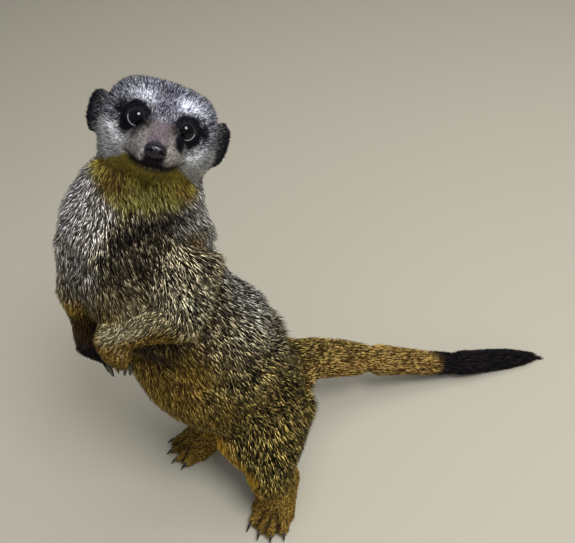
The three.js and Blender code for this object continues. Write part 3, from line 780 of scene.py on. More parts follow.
# ---------------------------------------------------------------- markings
class Markings:
    """Stores on the skin how its hair lies and how it is coloured, from the body's own landmarks.

    Heights over the floor and lengths are in mm, and turns round the trunk in degrees. FACING is how
    far each part of the trunk is turned to the animal's left, and BAR_STEP parts the bars on its back.
    """

    FACING = {"belly": 4, "chest": 28, "neck": 40, "head": 55}
    BAR_STEP = 12.5

    def __init__(self, skin: Skin, mesh: bpy.types.Mesh) -> None:
        """Measures every vertex against the body."""
        self.skin, self.mesh = skin, mesh
        self.net = Net(mesh)
        self.co = coordinates(mesh)
        self.names = skin.flesh()
        self.labels = skin.labels(self.co)
        hot = np.eye(len(self.names))[self.labels]
        self.soft = self.net.smooth(hot, 16)
        self.local = skin.head.local(self.co)
        self.normals = normals_of(mesh)
        self.up = self.co[:, 2] / MM

    def on(self, *starts: str) -> np.ndarray:
        """Softly how much each vertex belongs to the nodes whose names start so."""
        wanted = [i for i, n in enumerate(self.names) if n.startswith(starts)]
        return self.soft[:, wanted].sum(axis=1)

    def wobble(self, number: int, scale: float) -> np.ndarray:
        """Smooth noise at the vertices, about -0.7 to 0.7, by which borders of marks wander.

        Args:
            number: which of the noises.
            scale: its waves to the metre.

        Returns:
            One value per vertex.
        """
        shift = Vector((3.7, 1.3, 8.1)) * (number + 1)
        return np.array([noise.noise(Vector(p) * scale + shift) for p in self.co])

    def near(self, spot: np.ndarray, radius: float) -> np.ndarray:
        """1 at a place in the shared frame, falling to 0 over a radius in mm."""
        return np.exp(-((away_from(self.co, spot) / radius) ** 2))

    def beside(self, node: str, offset: Triple, radius: float) -> np.ndarray:
        """1 at an offset in mm from the middle of a node, falling to 0 over a radius."""
        return self.near(node_centre(node) + np.array(offset) * MM, radius)

    def round_eyes(self) -> list[dict[str, np.ndarray]]:
        """How every vertex lies round each eye."""
        eyes, head = self.skin.eyes, self.skin.head
        return [eyes.around(self.co, node_centre(f"eye_{name}"), head, side) for name, side in SIDES.items()]

    def trunk_angle(self) -> np.ndarray:
        """Angle round the trunk: 0 in front, 180 behind, over 0 on the animal's left."""
        spine = np.array([node_centre(n) for n in self.FACING])
        yaw = np.radians(list(self.FACING.values()))
        z = self.co[:, 2]
        order = np.argsort(spine[:, 2])
        middle = np.stack([np.interp(z, spine[order, 2], spine[order, k]) for k in (0, 1)], axis=1)
        turn = np.interp(z, spine[order, 2], yaw[order])
        rel = self.co[:, :2] - middle
        front = np.stack([np.sin(turn), -np.cos(turn)], axis=1)
        left = np.stack([np.cos(turn), np.sin(turn)], axis=1)
        return np.degrees(np.arctan2((rel * left).sum(1), (rel * front).sum(1)))

    def lie(self) -> np.ndarray:
        """Direction of the hair at each vertex, along the skin."""
        rows = np.zeros_like(self.co)
        head = self.skin.head
        for number, name in enumerate(self.names):
            mine = self.labels == number
            direction = self.skin.flow.direction(name)
            if direction is not None:
                rows[mine] = direction
            elif name == "head":
                start = head.world([0, 40, -9])
                rows[mine] = unit(self.co[mine] - start)
            else:
                rows[mine] = unit(self.co[mine] - head.world([0, -10, -4]))
        rows = self.net.smooth(rows, 22)
        rows -= self.normals * (rows * self.normals).sum(1, keepdims=True)
        rows = unit(self.net.smooth(unit(rows), 4))
        rows -= self.normals * (rows * self.normals).sum(1, keepdims=True)
        return unit(rows)

    def face(self) -> dict[str, np.ndarray]:
        """Weights of the marks on the head."""
        x, ahead, up = self.local.T
        ragged = self.wobble(4, 420.0)
        side = np.abs(x)
        head = self.on("head") + self.on("neck") * smoothstep(ahead, -2, 6) * smoothstep(up, -27, -21)
        front = smoothstep(ahead, 2, 9) * head
        patch = np.hypot((side - 11.9) / 7.7, (up - 2.4) / 6.5)
        tear = np.hypot((side - 11.8 + 0.9 * np.sign(x)) / 4.2, (up + 3.3) / 4.6)
        patch = np.minimum(patch, tear) + 0.12 * ragged
        around_eye = smoothstep(ahead, 6, 10) * head
        brow = ((side - 9.5) / 6.5) ** 2 + ((up - 11.8 + 0.05 * side) / 3.0) ** 2
        snout = smoothstep(ahead, 17, 25) * smoothstep(up, 2, -4) * smoothstep(side, 3, 6)
        forehead = smoothstep(side + 3 * ragged, 8.5, 3) * smoothstep(up, 2, 8)
        off = up - self.skin.mouth_line(side)
        lip = np.exp(-((off / np.where(off < 0, 2.6, 1.4)) ** 2))
        lip = lip * smoothstep(side, 15.5, 11) * smoothstep(ahead, 16, 24)
        under = smoothstep(side, 4.6, 3.2) * smoothstep(ahead, 30, 33) * (off > 0) * smoothstep(up, -8, -11)
        return {
            "crown": head,
            "forehead": forehead * smoothstep(up, 22, 14) * front,
            "brow": np.exp(-brow) * front,
            "cheek": smoothstep(up, 0, -6) * smoothstep(side, 7, 12) * head * smoothstep(ahead, -12, 0),
            "bridge": smoothstep(side + 2 * ragged, 8.5, 5.0) * smoothstep(up, 6, 1) * front,
            "snout": snout * smoothstep(side, 17, 12) * head,
            "chin": self.chin(ragged),
            "patch": smoothstep(patch, 1.08, 0.9) * around_eye,
            "rim": np.exp(-(((patch - 1.08) / 0.09) ** 2)) * around_eye,
            "lip": np.clip(lip + under, 0, 1) * head,
        }

    def chin(self, ragged: np.ndarray) -> np.ndarray:
        """Where the yellow of the throat reaches up on the head, with a ragged border."""
        x, ahead, up = self.local.T
        side = np.abs(x)
        below_lips = up - self.skin.mouth_line(np.minimum(side, 11)) + 0.55 * np.maximum(side - 9, 0)
        past_right = side - 27 + 0.85 * np.maximum(-20 - up, 0)
        past_left = side - 22 + 0.5 * np.maximum(-22 - up, 0)
        past_side = np.where(x < 0, past_right, past_left)
        under = smoothstep(below_lips + 1.5 * ragged, 1.6, -0.4)
        over = smoothstep(up - 0.25 * x + 4 * ragged, -38, -32)
        return under * over * smoothstep(ahead, -11, -3) * smoothstep(past_side + 3 * ragged, 3, -3)

    def weights(self) -> list[tuple[Coat, np.ndarray]]:
        """Shades in the order that they are laid on, each with its weight."""
        drift, fine = self.wobble(0, 42.0), self.wobble(1, 150.0)
        turn = self.trunk_angle() + 20 * drift + 12 * fine
        angle = np.abs(turn)
        up = self.up + 8 * self.wobble(2, 50.0) + 4 * fine
        face = self.face()
        head = self.skin.head
        back = smoothstep(angle, 65, 115)
        front = smoothstep(angle, 90, 55)
        trunk = self.on("chest", "belly")
        breast = self.on("chest", "neck")
        hand_right = self.on("hand_right") + self.on("forearm_right") * smoothstep(up, 172, 162)
        forward = -0.6 * self.normals[:, 1] - 0.8 * self.normals[:, 2]
        tail_run = away_from(self.co, self.skin.flow.tail_end)
        bars = smoothstep(0.5 + 0.5 * np.cos((self.up + 5 * drift) * 2 * math.pi / self.BAR_STEP), 0.45, 0.85)
        bars = bars * smoothstep(angle, 105, 135) * smoothstep(up, 205, 180) * smoothstep(up, 70, 90)
        bib = smoothstep(turn, -30, -8) * smoothstep(turn, 90, 60) * np.exp(-(((up - 231) / 10.0) ** 2))
        throat = smoothstep(turn, -44, -24) * smoothstep(turn, 85, 60) * smoothstep(up, 239, 245)
        elbows = [away_from(self.co, node_centre(f"upper_arm_{side}")) for side in SIDES]
        elbow = np.minimum(*elbows) + 5 * fine
        inner = smoothstep(forward, -0.1, 0.45) * smoothstep(elbow, 18, 30)
        dorsal = self.on("tail_base") * smoothstep(self.normals[:, 2], 0.3, 0.9)
        return [
            (Coat.BACK, back * smoothstep(up, 95, 150)),
            (Coat.HAUNCH, smoothstep(up + 34 * smoothstep(angle, 95, 145), 185, 108)),
            (Coat.BREAST, front * smoothstep(up, 152, 184) * trunk),
            (Coat.BELLY, smoothstep(angle, 66, 26) * smoothstep(up, 186, 156) * trunk),
            (Coat.SOOT, 0.6 * bars * trunk),
            # painted shadow on the belly under the left forearm
            (Coat.SOOT, 0.95 * self.beside("hand_left", (6, 16, -11), 11.5) * trunk),
            (Coat.RUFF, self.on("neck") * smoothstep(angle, 38, 72)),
            (Coat.BREAST, breast * front * smoothstep(up, 228, 218) * smoothstep(up, 166, 192)),
            (Coat.SHOULDER, 0.7 * breast * smoothstep(turn, -16, -38) * smoothstep(up, 190, 206)),
            (Coat.BIB, breast * bib),
            (Coat.BIB, 0.75 * front * trunk * smoothstep(fine + drift, 0.12, 0.4) * smoothstep(up, 150, 185)),
            (Coat.THROAT, self.on("neck") * throat),
            (Coat.BELLY, 0.85 * self.beside("hand_left", (-1, 7, 21), 15.0) * trunk),
            (Coat.FLANK, self.on("upper_arm")),
            (Coat.RUST, 0.9 * self.beside("upper_arm_left", (-6.5, 6.2, 17), 5.5)),
            (Coat.SHOULDER, 0.65 * self.on("upper_arm_right") * smoothstep(up, 185, 200)),
            (Coat.CREAM, 0.9 * self.beside("forearm_left", (-5.2, -3.5, 11), 9.5)),
            (Coat.HAUNCH, 0.6 * self.on("forearm_left")),
            (Coat.CREAM, self.on("forearm") * smoothstep(elbow, 19, 33)),
            (Coat.GOLD, self.on("forearm_left") * inner),
            (Coat.GOLD, self.on("hand_left")),
            (Coat.GOLD, self.on("forearm_right") * smoothstep(up, 186, 174)),
            (Coat.SOOT, np.clip(hand_right, 0, 1)),
            (Coat.RUST, 0.55 * np.clip(hand_right, 0, 1) * smoothstep(up, 142, 158)),
            (Coat.HAUNCH, self.on("thigh")),
            (Coat.GOLD, self.on("shank") * 0.7),
            (Coat.AMBER, self.on("thigh", "shank") * smoothstep(self.inward() + 0.3 * fine, 0.4, 0.75)),
            (Coat.GOLD, self.on("foot")),
            (Coat.TAIL, self.on("tail_base") * smoothstep(up, 92, 62) + self.on("tail_middle", "tail_tip")),
            (Coat.HAUNCH, 0.4 * dorsal),
            (Coat.SOOT, smoothstep(tail_run + 8 * drift + 6 * fine, 96, 84)),
            (Coat.CROWN, face["crown"]),
            (Coat.CHEEK, face["cheek"]),
            (Coat.FOREHEAD, face["forehead"]),
            (Coat.BROW, face["brow"]),
            (Coat.BRIDGE, face["bridge"]),
            (Coat.SNOUT, face["snout"]),
            (Coat.THROAT, face["chin"]),
            # painted light: brighter mustard that lifts the shade on the chin below the mouth
            (Coat.CHIN, face["chin"] * smoothstep(self.local[:, 2], -27, -19)),
            (Coat.RUST, self.near(head.world([-13.8, 5.4, -26]), 8.0)),
            (Coat.RUST, 0.8 * self.near(head.world([15.5, 6, -22.5]), 6.0)),
            (Coat.LIP, face["lip"]),
            (Coat.RIM, 0.55 * face["rim"]),
            (Coat.MASK, face["patch"]),
            (Coat.MASK, self.on("ear")),
            # painted shade in the grooves between toes and fingers
            (Coat.SOOT, 0.9 * self.skin.toe_grooves(self.co)[1]),
        ]

    def inward(self) -> np.ndarray:
        """How much a leg's vertex faces ahead and towards the other leg."""
        left = self.on("thigh_left", "shank_left") > self.on("thigh_right", "shank_right")
        inner = np.where(left, -self.normals[:, 0], self.normals[:, 0])
        return 0.68 * inner - 0.73 * self.normals[:, 1]

    def bare(self) -> np.ndarray:
        """1 on skin without hair: lid edges, lips, the bed of the nose and the soles."""
        result = np.zeros(len(self.co))
        for lay in self.round_eyes():
            result = np.maximum(result, smoothstep(lay["past"], 0.7, 0.25) * (lay["reach"] < 9))
        x, ahead, up = self.local.T
        lips = smoothstep(np.abs(up - self.skin.mouth_line(x)), 0.7, 0.3) * (ahead > 20) * (np.abs(x) < 13)
        nose_bed = smoothstep(self.skin.round_nose(self.co)[1], 1.14, 1.02)
        result = np.maximum(result, np.maximum(lips, nose_bed))
        sole = (self.normals[:, 2] < -0.7) & (self.up < 2)
        return np.maximum(result, sole)

    def store(self) -> None:
        """Writes everything that the skin's finish and the tufts read."""
        rows = [np.tile(row, (len(self.co), 1)) for row in Coat.FLANK.value.rows()]
        for shade, weight in self.weights():
            w = np.clip(weight, 0, 1)[:, None]
            rows = [row + (new - row) * w for row, new in zip(rows, shade.value.rows())]
        mottle = np.clip(1 + 0.45 * self.wobble(5, 120.0) + 0.35 * self.wobble(6, 48.0), 0.6, 1.5)[:, None]
        rows[0], rows[1] = rows[0] * mottle, np.clip(rows[1] * (0.5 + 0.5 * mottle), 0, 1)
        opaque = np.ones((len(self.co), 1))
        for name, row in zip(("base", "pale", "dark"), rows):
            set_attribute(self.mesh, name, np.hstack([row, opaque]))
        set_attribute(self.mesh, "share", rows[3][:, 0])
        set_attribute(self.mesh, "lie", self.lie())
        self.store_hair()

    def store_hair(self) -> None:
        """Writes where the skin is bare and how long, wide, high and thick its hair is."""
        bare = self.bare()
        far = 99.0
        lids = np.full(len(self.co), far)
        for lay in self.round_eyes():
            lids = np.minimum(lids, np.where(lay["reach"] < 14, lay["past"], far))
        snout = smoothstep(self.local[:, 1], 4, 30) * self.on("head")
        fine = np.maximum(snout, 0.95 * smoothstep(lids, 5.0, 0.5))

        def pelts(key: str) -> np.ndarray:
            """One of the hair's measures at each vertex."""
            values = self.skin.per_node(self.labels, lambda node: getattr(pelt_of(node), key))
            return self.net.smooth(values, 12)

        rise = np.minimum(pelts("rise"), 0.4 + 0.05 * away_from(self.co, self.skin.flow.tail_end))
        set_attribute(self.mesh, "bare", bare)
        set_attribute(self.mesh, "cut", pelts("length") * (1 - 0.6 * fine) * MM)
        set_attribute(self.mesh, "girth", pelts("half_width") * (1 - 0.25 * fine) * MM)
        set_attribute(self.mesh, "rise", rise * (1 - 0.65 * fine) * MM)
        set_attribute(self.mesh, "thick", pelts("thick") * (1 + 0.5 * fine) * (1 - bare) / MM**2)


@dataclass(frozen=True)
class Tones:
    """Linear colours of a finish: the two that it clouds between, and the one of its marks."""

    low: Colour
    high: Colour
    mark: Colour = (0.0, 0.0, 0.0, 1)


class Finishes:
    """The materials, each made once.

    The edges are in degrees from the middle of the cornea: where the pupil fades into the iris,
    where the painted reflection on the iris's edge begins, and where the iris ends.
    """

    HIDE = Tones((0.002, 0.0015, 0.002, 1), (0.006, 0.0045, 0.0055, 1))
    # IRIS.mark is the colour of a painted reflection, a pale crescent on the lower edge of the iris.
    IRIS = Tones((0.0008, 0.0007, 0.0018, 1), (0.0035, 0.0024, 0.0024, 1), (0.42, 0.46, 0.54, 1))
    # PAD.mark darkens the nostrils and their slits: painted shade in their hollows.
    PAD = Tones((0.003, 0.0025, 0.004, 1), (0.011, 0.009, 0.013, 1), (0.003, 0.002, 0.003, 1))
    HORN = Tones((0.003, 0.002, 0.002, 1), (0.014, 0.01, 0.008, 1), (0.04, 0.03, 0.023, 1))
    PUPIL = (0.001, 0.001, 0.0015, 1)
    EYE_RING = (0.012, 0.008, 0.008, 1)
    PUPIL_EDGE, GLINT_EDGE, IRIS_EDGE = (25.0, 30.0), (36.0, 37.0), (40.5, 42.5)

    @staticmethod
    def blank(name: str) -> tuple[bpy.types.Material, Wiring, bpy.types.Node]:
        """A material with only its principled shader."""
        material = bpy.data.materials.new(name)
        material.use_nodes = True
        shader = next(n for n in material.node_tree.nodes if n.type == "BSDF_PRINCIPLED")
        return material, Wiring(material.node_tree), shader

    @staticmethod
    def set_up(w: Wiring, shader: bpy.types.Node, values: dict[str, object]) -> None:
        """Feeds the shader's sockets by their names."""
        for name, value in values.items():
            w.feed(shader.inputs[name], value)

    @staticmethod
    def bump(w: Wiring, height: object, strength: float, distance: float, sunk: bool = False) -> object:
        """Normals of a fine relief, in mm, that rises with the height or sinks with it."""
        values = {"Height": height, "Strength": strength, "Distance": distance * MM}
        made = w.node("ShaderNodeBump", values)
        made.invert = sunk
        return made.outputs["Normal"]

    @staticmethod
    def hair_group() -> bpy.types.NodeTree:
        """Colour of a ticked hair: dark at the root, one pale band, and a dark tip, or dark all along."""
        group = bpy.data.node_groups.new("ticked_hair", "ShaderNodeTree")
        for name in ("Base", "Pale", "Dark"):
            group.interface.new_socket(name, in_out="INPUT", socket_type="NodeSocketColor")
        for name in ("Share", "Along", "Strand", "Band"):
            group.interface.new_socket(name, in_out="INPUT", socket_type="NodeSocketFloat")
        group.interface.new_socket("Color", in_out="OUTPUT", socket_type="NodeSocketColor")
        w = Wiring(group)
        source = w.node("NodeGroupInput").outputs
        along, strand = source["Along"], source["Strand"]
        other = w.math("FRACT", w.math("MULTIPLY", strand, 37.0))
        third = w.math("FRACT", w.math("MULTIPLY", strand, 91.0))
        dark = w.math("LESS_THAN", strand, source["Share"])
        band = w.math("MULTIPLY", w.ramp(along, 0.36, 0.56), w.ramp(along, 0.88, 1.0, (1.0, 0.2)))
        light = w.math("MULTIPLY", band, w.ramp(other, 0.22, 0.7))
        light = w.math("MULTIPLY", light, source["Band"])
        root = w.mix(w.ramp(along, 0.0, 0.45, (0.8, 0.0)), source["Base"], source["Dark"])
        ticked = w.mix(light, root, source["Pale"])
        dusk = w.math("MULTIPLY", dark, w.math("MULTIPLY_ADD", third, 0.3, 0.65))
        tone = w.math("MULTIPLY_ADD", third, 0.36, 0.82)
        w.node("NodeGroupOutput", {"Color": w.scaled(w.mix(dusk, ticked, source["Dark"]), tone)})
        return group

    def __init__(self) -> None:
        """Makes the shared group and the coat's and the skin's materials."""
        self.group = self.hair_group()
        self.coat = self.make_coat()
        self.skin = self.make_skin()

    def hair(self, w: Wiring, along: object, strand: object, band: float) -> bpy.types.NodeSocket:
        """The hair colour of a surface, from what the skin stores."""
        made = w.node("ShaderNodeGroup")
        made.node_tree = self.group
        stored = {name.title(): w.attribute(name, "Color") for name in ("base", "pale", "dark")}
        stored["Share"] = w.attribute("share")
        self.set_up(w, made, {**stored, "Along": along, "Strand": strand, "Band": band})
        return made.outputs["Color"]

    def make_coat(self) -> bpy.types.Material:
        """Finish of the tufts."""
        material, w, shader = self.blank("coat_hair")
        colour = self.hair(w, w.attribute("along"), w.attribute("strand"), 1.0)
        self.set_up(w, shader, {"Base Color": colour, "Roughness": 0.6, "Specular IOR Level": 0.09})
        return material

    def make_skin(self) -> bpy.types.Material:
        """Finish of the skin: the coat's colours as short down, halved as painted shade between the tufts, and
        bare skin on lids and lips.
        """
        material, w, shader = self.blank("skin_down")
        place_in = w.node("ShaderNodeTexCoord").outputs["Object"]
        cells = w.node("ShaderNodeTexVoronoi", {"Vector": place_in, "Scale": 1100.0})
        strand = w.node("ShaderNodeSeparateColor", {0: cells.outputs["Color"]}).outputs[0]
        drift = w.node("ShaderNodeTexNoise", {"Vector": place_in, "Scale": 900.0, "Detail": 3.0})
        cloud = drift.outputs["Fac"]
        # painted shade: the down is dimmed to half and its pale band to 0.7, so the skin between the tufts
        # reads dark.
        shaded_down = w.scaled(self.hair(w, cloud, strand, 0.7), 0.5)
        bare = w.attribute("bare")
        hide = w.mix(w.ramp(cloud, 0.3, 0.7), self.HIDE.low, self.HIDE.high)
        values = {
            "Base Color": w.mix(bare, shaded_down, hide),
            "Roughness": w.ramp(bare, 0.0, 1.0, (0.85, 0.55)),
            "Specular IOR Level": 0.12,
            "Normal": self.bump(w, cloud, 0.5, 0.3),
        }
        self.set_up(w, shader, values)
        return material

    def make_eye(self) -> bpy.types.Material:
        """Wet eye: wide dark pupil, brown iris with rays, a painted reflection on the iris's lower edge and a
        dim white.
        """
        material, w, shader = self.blank("eye_wet")
        polar = w.attribute("polar")
        turns = w.math("MULTIPLY", w.attribute("ray"), 40.0)
        rays = w.node("ShaderNodeTexNoise", {"W": turns, "Detail": 3.0}, noise_dimensions="1D")
        iris = w.mix(rays.outputs["Fac"], self.IRIS.low, self.IRIS.high)
        # low and rim: a pale crescent of painted reflection on the iris's lower outer edge.
        low = w.math("MULTIPLY_ADD", w.attribute("low"), 0.98, 0.02)
        rim = w.math("MULTIPLY", w.ramp(polar, *self.GLINT_EDGE), low)
        iris = w.mix(rim, iris, self.IRIS.mark)
        colour = w.mix(w.ramp(polar, *self.PUPIL_EDGE), self.PUPIL, iris)
        colour = w.mix(w.ramp(polar, *self.IRIS_EDGE), colour, self.EYE_RING)
        self.set_up(w, shader, {"Base Color": colour, "Roughness": 0.05, "IOR": 1.32})
        return material

    def make_nose(self) -> bpy.types.Material:
        """Damp dark leather of the nose pad, finely pebbled."""
        material, w, shader = self.blank("nose_leather")
        place_in = w.node("ShaderNodeTexCoord").outputs["Object"]
        pebbles = w.node("ShaderNodeTexVoronoi", {"Vector": place_in, "Scale": 2600.0}, feature="SMOOTH_F1")
        clouds = w.node("ShaderNodeTexNoise", {"Vector": place_in, "Scale": 500.0, "Detail": 2.0})
        cloud = clouds.outputs["Fac"]
        tone = w.mix(cloud, self.PAD.low, self.PAD.high)
        values = {
            # pit: the nostrils and slits painted darker, painted shade in their hollows
            "Base Color": w.mix(w.attribute("pit"), tone, self.PAD.mark),
            "Roughness": w.ramp(cloud, 0.3, 0.7, (0.2, 0.32)),
            "Specular IOR Level": 0.35,
            "Normal": self.bump(w, pebbles.outputs["Distance"], 0.6, 0.12, sunk=True),
        }
        self.set_up(w, shader, values)
        return material

    def make_claw(self) -> bpy.types.Material:
        """Dark horn with streaks along the claw, paler at the tip."""
        material, w, shader = self.blank("claw_horn")
        place_in = w.node("ShaderNodeTexCoord").outputs["Object"]
        streaks = w.node("ShaderNodeTexNoise", {"Vector": place_in, "Scale": 1800.0, "Detail": 3.0})
        streak = streaks.outputs["Fac"]
        horn = w.mix(streak, self.HORN.low, self.HORN.high)
        tip = w.ramp(w.attribute("along"), 0.6, 1.0, (0.0, 0.3))
        values = {
            "Base Color": w.mix(tip, horn, self.HORN.mark),
            "Roughness": w.ramp(streak, 0.3, 0.7, (0.3, 0.45)),
            "Normal": self.bump(w, streak, 0.3, 0.1),
        }
        self.set_up(w, shader, values)
        return material


# ---------------------------------------------------------------- coat
@dataclass
class TuftTree:
    """Geometry nodes that grow tufts on a mesh which stores lie, cut, girth, rise and thick.

    Segments are the rings along a tuft, sink is how deep its root lies in mm, and patch is how far
    its sides open out in the unwrap. LOWEST keeps the tufts over the floor.
    """

    segments: int = 2
    sink: float = 0.4
    patch: float = 0.0015

    LOWEST = (-9.0, -9.0, 0.0001)
    INPUTS = (
        ("Thickness", "NodeSocketFloat"),
        ("Spread", "NodeSocketFloat"),
        ("Clump", "NodeSocketFloat"),
        ("Clump Size", "NodeSocketFloat"),
        ("Seed", "NodeSocketInt"),
        ("Material", "NodeSocketMaterial"),
    )

    def build(self, name: str) -> bpy.types.NodeTree:
        """Makes the tree.

        Args:
            name: the tree's name.

        Returns:
            The tree, whose inputs are named in INPUTS.
        """
        tree = bpy.data.node_groups.new(name, "GeometryNodeTree")
        face = tree.interface
        face.new_socket("Geometry", in_out="INPUT", socket_type="NodeSocketGeometry")
        for label, kind in self.INPUTS:
            face.new_socket(label, in_out="INPUT", socket_type=kind)
        face.new_socket("Geometry", in_out="OUTPUT", socket_type="NodeSocketGeometry")
        w = Wiring(tree)
        source = w.node("NodeGroupInput").outputs

        def named(label: str, kind: str = "FLOAT") -> bpy.types.NodeSocket:
            """What is stored under a name."""
            made = w.node("GeometryNodeInputNamedAttribute", {"Name": label}, data_type=kind)
            return w.out(made, "Attribute")

        def store(
            geometry: object, label: str, value: object, kind: str = "FLOAT", domain: str = "POINT"
        ) -> bpy.types.NodeSocket:
            """Stores a value under a name."""
            made = w.node("GeometryNodeStoreNamedAttribute", data_type=kind, domain=domain)
            for key, item in (("Geometry", geometry), ("Name", label), ("Value", value)):
                w.feed(w.open(made.inputs, key), item)
            return made.outputs[0]

        def chance(offset: int) -> bpy.types.NodeSocket:
            """A number from 0 to 1, drawn anew for each tuft."""
            seed = w.math("ADD", source["Seed"], float(offset))
            made = w.node("FunctionNodeRandomValue", {"Seed": seed}, data_type="FLOAT")
            return w.out(made, "Value")

        position = w.node("GeometryNodeInputPosition").outputs[0]
        density = w.math("MULTIPLY", named("thick"), source["Thickness"])
        spread = w.node(
            "GeometryNodeDistributePointsOnFaces",
            {"Mesh": source["Geometry"], "Density": density, "Seed": source["Seed"]},
            distribute_method="RANDOM",
        )
        normal = spread.outputs["Normal"]
        swirl = w.node("ShaderNodeTexNoise", {"Vector": position, "Scale": 70.0, "Detail": 1.0})
        sway = w.math("SUBTRACT", swirl.outputs[0], 0.5)
        sway = w.math("MULTIPLY_ADD", sway, 1.6, w.math("SUBTRACT", chance(11), 0.5))
        lie = named("lie", "FLOAT_VECTOR")
        across = w.vector("CROSS_PRODUCT", normal, lie)
        aside = w.scaled(across, w.math("MULTIPLY", sway, source["Spread"]))
        heading = w.vector("NORMALIZE", w.vector("ADD", lie, aside))
        cells = w.node("ShaderNodeTexVoronoi", {"Vector": position, "Scale": source["Clump Size"]})
        pull = w.vector("SUBTRACT", cells.outputs["Position"], position)
        lean = w.vector("DOT_PRODUCT", pull, normal)
        pull = w.vector("SUBTRACT", pull, w.scaled(normal, lean))
        points = spread.outputs["Points"]
        points = store(points, "nrm", normal, "FLOAT_VECTOR")
        points = store(points, "heading", heading, "FLOAT_VECTOR")
        points = store(points, "pull", w.scaled(pull, source["Clump"]), "FLOAT_VECTOR")
        points = store(points, "root", position, "FLOAT_VECTOR")
        points = store(points, "strand", chance(3))
        points = store(points, "vary", chance(5))

        shape = {"Vertices": 3, "Side Segments": self.segments, "Radius Top": 0.0, "Radius Bottom": 1.0}
        cone = w.node("GeometryNodeMeshCone", {**shape, "Depth": 1.0}, fill_type="NGON").outputs["Mesh"]
        parts = w.node("ShaderNodeSeparateXYZ", {0: position}).outputs
        blade = store(cone, "along", parts["Z"])
        blade = store(blade, "section", position, "FLOAT_VECTOR")
        placed = w.node("GeometryNodeInstanceOnPoints", {"Points": points, "Instance": blade}).outputs[0]
        solid = w.node("GeometryNodeRealizeInstances", {"Geometry": placed}).outputs[0]

        t = named("along")
        squared = w.math("MULTIPLY", t, t)
        section = w.node("ShaderNodeSeparateXYZ", {0: named("section", "FLOAT_VECTOR")}).outputs
        vary = named("vary")
        nrm, head = named("nrm", "FLOAT_VECTOR"), named("heading", "FLOAT_VECTOR")
        long = w.math("MULTIPLY", named("cut"), w.math("MULTIPLY_ADD", vary, 0.55, 0.7))
        swell = w.math("MULTIPLY_ADD", w.math("MULTIPLY", t, w.math("SUBTRACT", 1.0, t)), 1.2, 1.0)
        girth = w.math("MULTIPLY", named("girth"), swell)
        curve = w.math("MULTIPLY", t, w.math("SUBTRACT", 2.0, t))
        other = w.math("FRACT", w.math("MULTIPLY", named("strand"), 53.0))
        height = w.math("MULTIPLY", named("rise"), w.math("MULTIPLY_ADD", other, 0.9, 0.45))
        height = w.math("MULTIPLY", height, curve)
        height = w.math("SUBTRACT", height, w.math("MULTIPLY", w.math("SUBTRACT", 1.0, t), self.sink * MM))
        height = w.math("ADD", height, w.math("MULTIPLY", section["Y"], w.math("MULTIPLY", girth, 0.6)))
        place_at = w.vector("ADD", named("root", "FLOAT_VECTOR"), w.scaled(head, w.math("MULTIPLY", long, t)))
        place_at = w.vector("ADD", place_at, w.scaled(nrm, height))
        beside = w.vector("CROSS_PRODUCT", nrm, head)
        place_at = w.vector("ADD", place_at, w.scaled(beside, w.math("MULTIPLY", section["X"], girth)))
        place_at = w.vector("ADD", place_at, w.scaled(named("pull", "FLOAT_VECTOR"), squared))
        place_at = w.vector("MAXIMUM", place_at, self.LOWEST)
        solid = w.node("GeometryNodeSetPosition", {"Geometry": solid, "Position": place_at}).outputs[0]
        side = w.node("GeometryNodeFieldOnDomain", {0: t}, domain="FACE", data_type="FLOAT")
        open_out = w.math("GREATER_THAN", w.out(side, "Value"), 0.01)
        flat = w.scaled(named("section", "FLOAT_VECTOR"), w.math("MULTIPLY", open_out, self.patch))
        chart = w.vector("ADD", named("chart", "FLOAT_VECTOR"), flat)
        solid = store(solid, "OFBake", chart, "FLOAT2", "CORNER")
        solid = w.node("GeometryNodeSetShadeSmooth", {"Geometry": solid}).outputs[0]
        painted = w.node("GeometryNodeSetMaterial", {"Geometry": solid, "Material": source["Material"]})
        w.node("NodeGroupOutput", {"Geometry": painted.outputs[0]})
        return tree


@dataclass(frozen=True)
class Patch:
    """One piece of the coat: the nodes under it, and how its tufts stand."""

    name: str
    nodes: tuple[str, ...]
    where: str = "all"
    fine: bool = False
    thickness: float = 1.0
    spread: float = 0.55
    clump: float = 0.35
    clump_size: float = 260.0


PATCHES = (
    Patch("coat_face", ("head",), "front", True, 1.0, 0.4, 0.15, 500.0),
    Patch("coat_crown", ("head", "ear"), "rear", True, 0.9, 0.45, 0.2, 400.0),
    Patch("coat_neck", ("neck",)),
    Patch("coat_chest_front", ("chest",), "before"),
    Patch("coat_chest_back", ("chest",), "behind"),
    Patch("coat_belly_front", ("belly",), "before"),
    Patch("coat_belly_back", ("belly",), "behind"),
    Patch("coat_arms", ("upper_arm", "forearm")),
    Patch("coat_hands", ("hand",), fine=True),
    Patch("coat_leg_left", ("thigh_left", "shank_left")),
    Patch("coat_leg_right", ("thigh_right", "shank_right")),
    Patch("coat_feet", ("foot",), fine=True),
    Patch("coat_tail_base", ("tail_base",)),
    Patch("coat_tail_end", ("tail_middle", "tail_tip")),
)


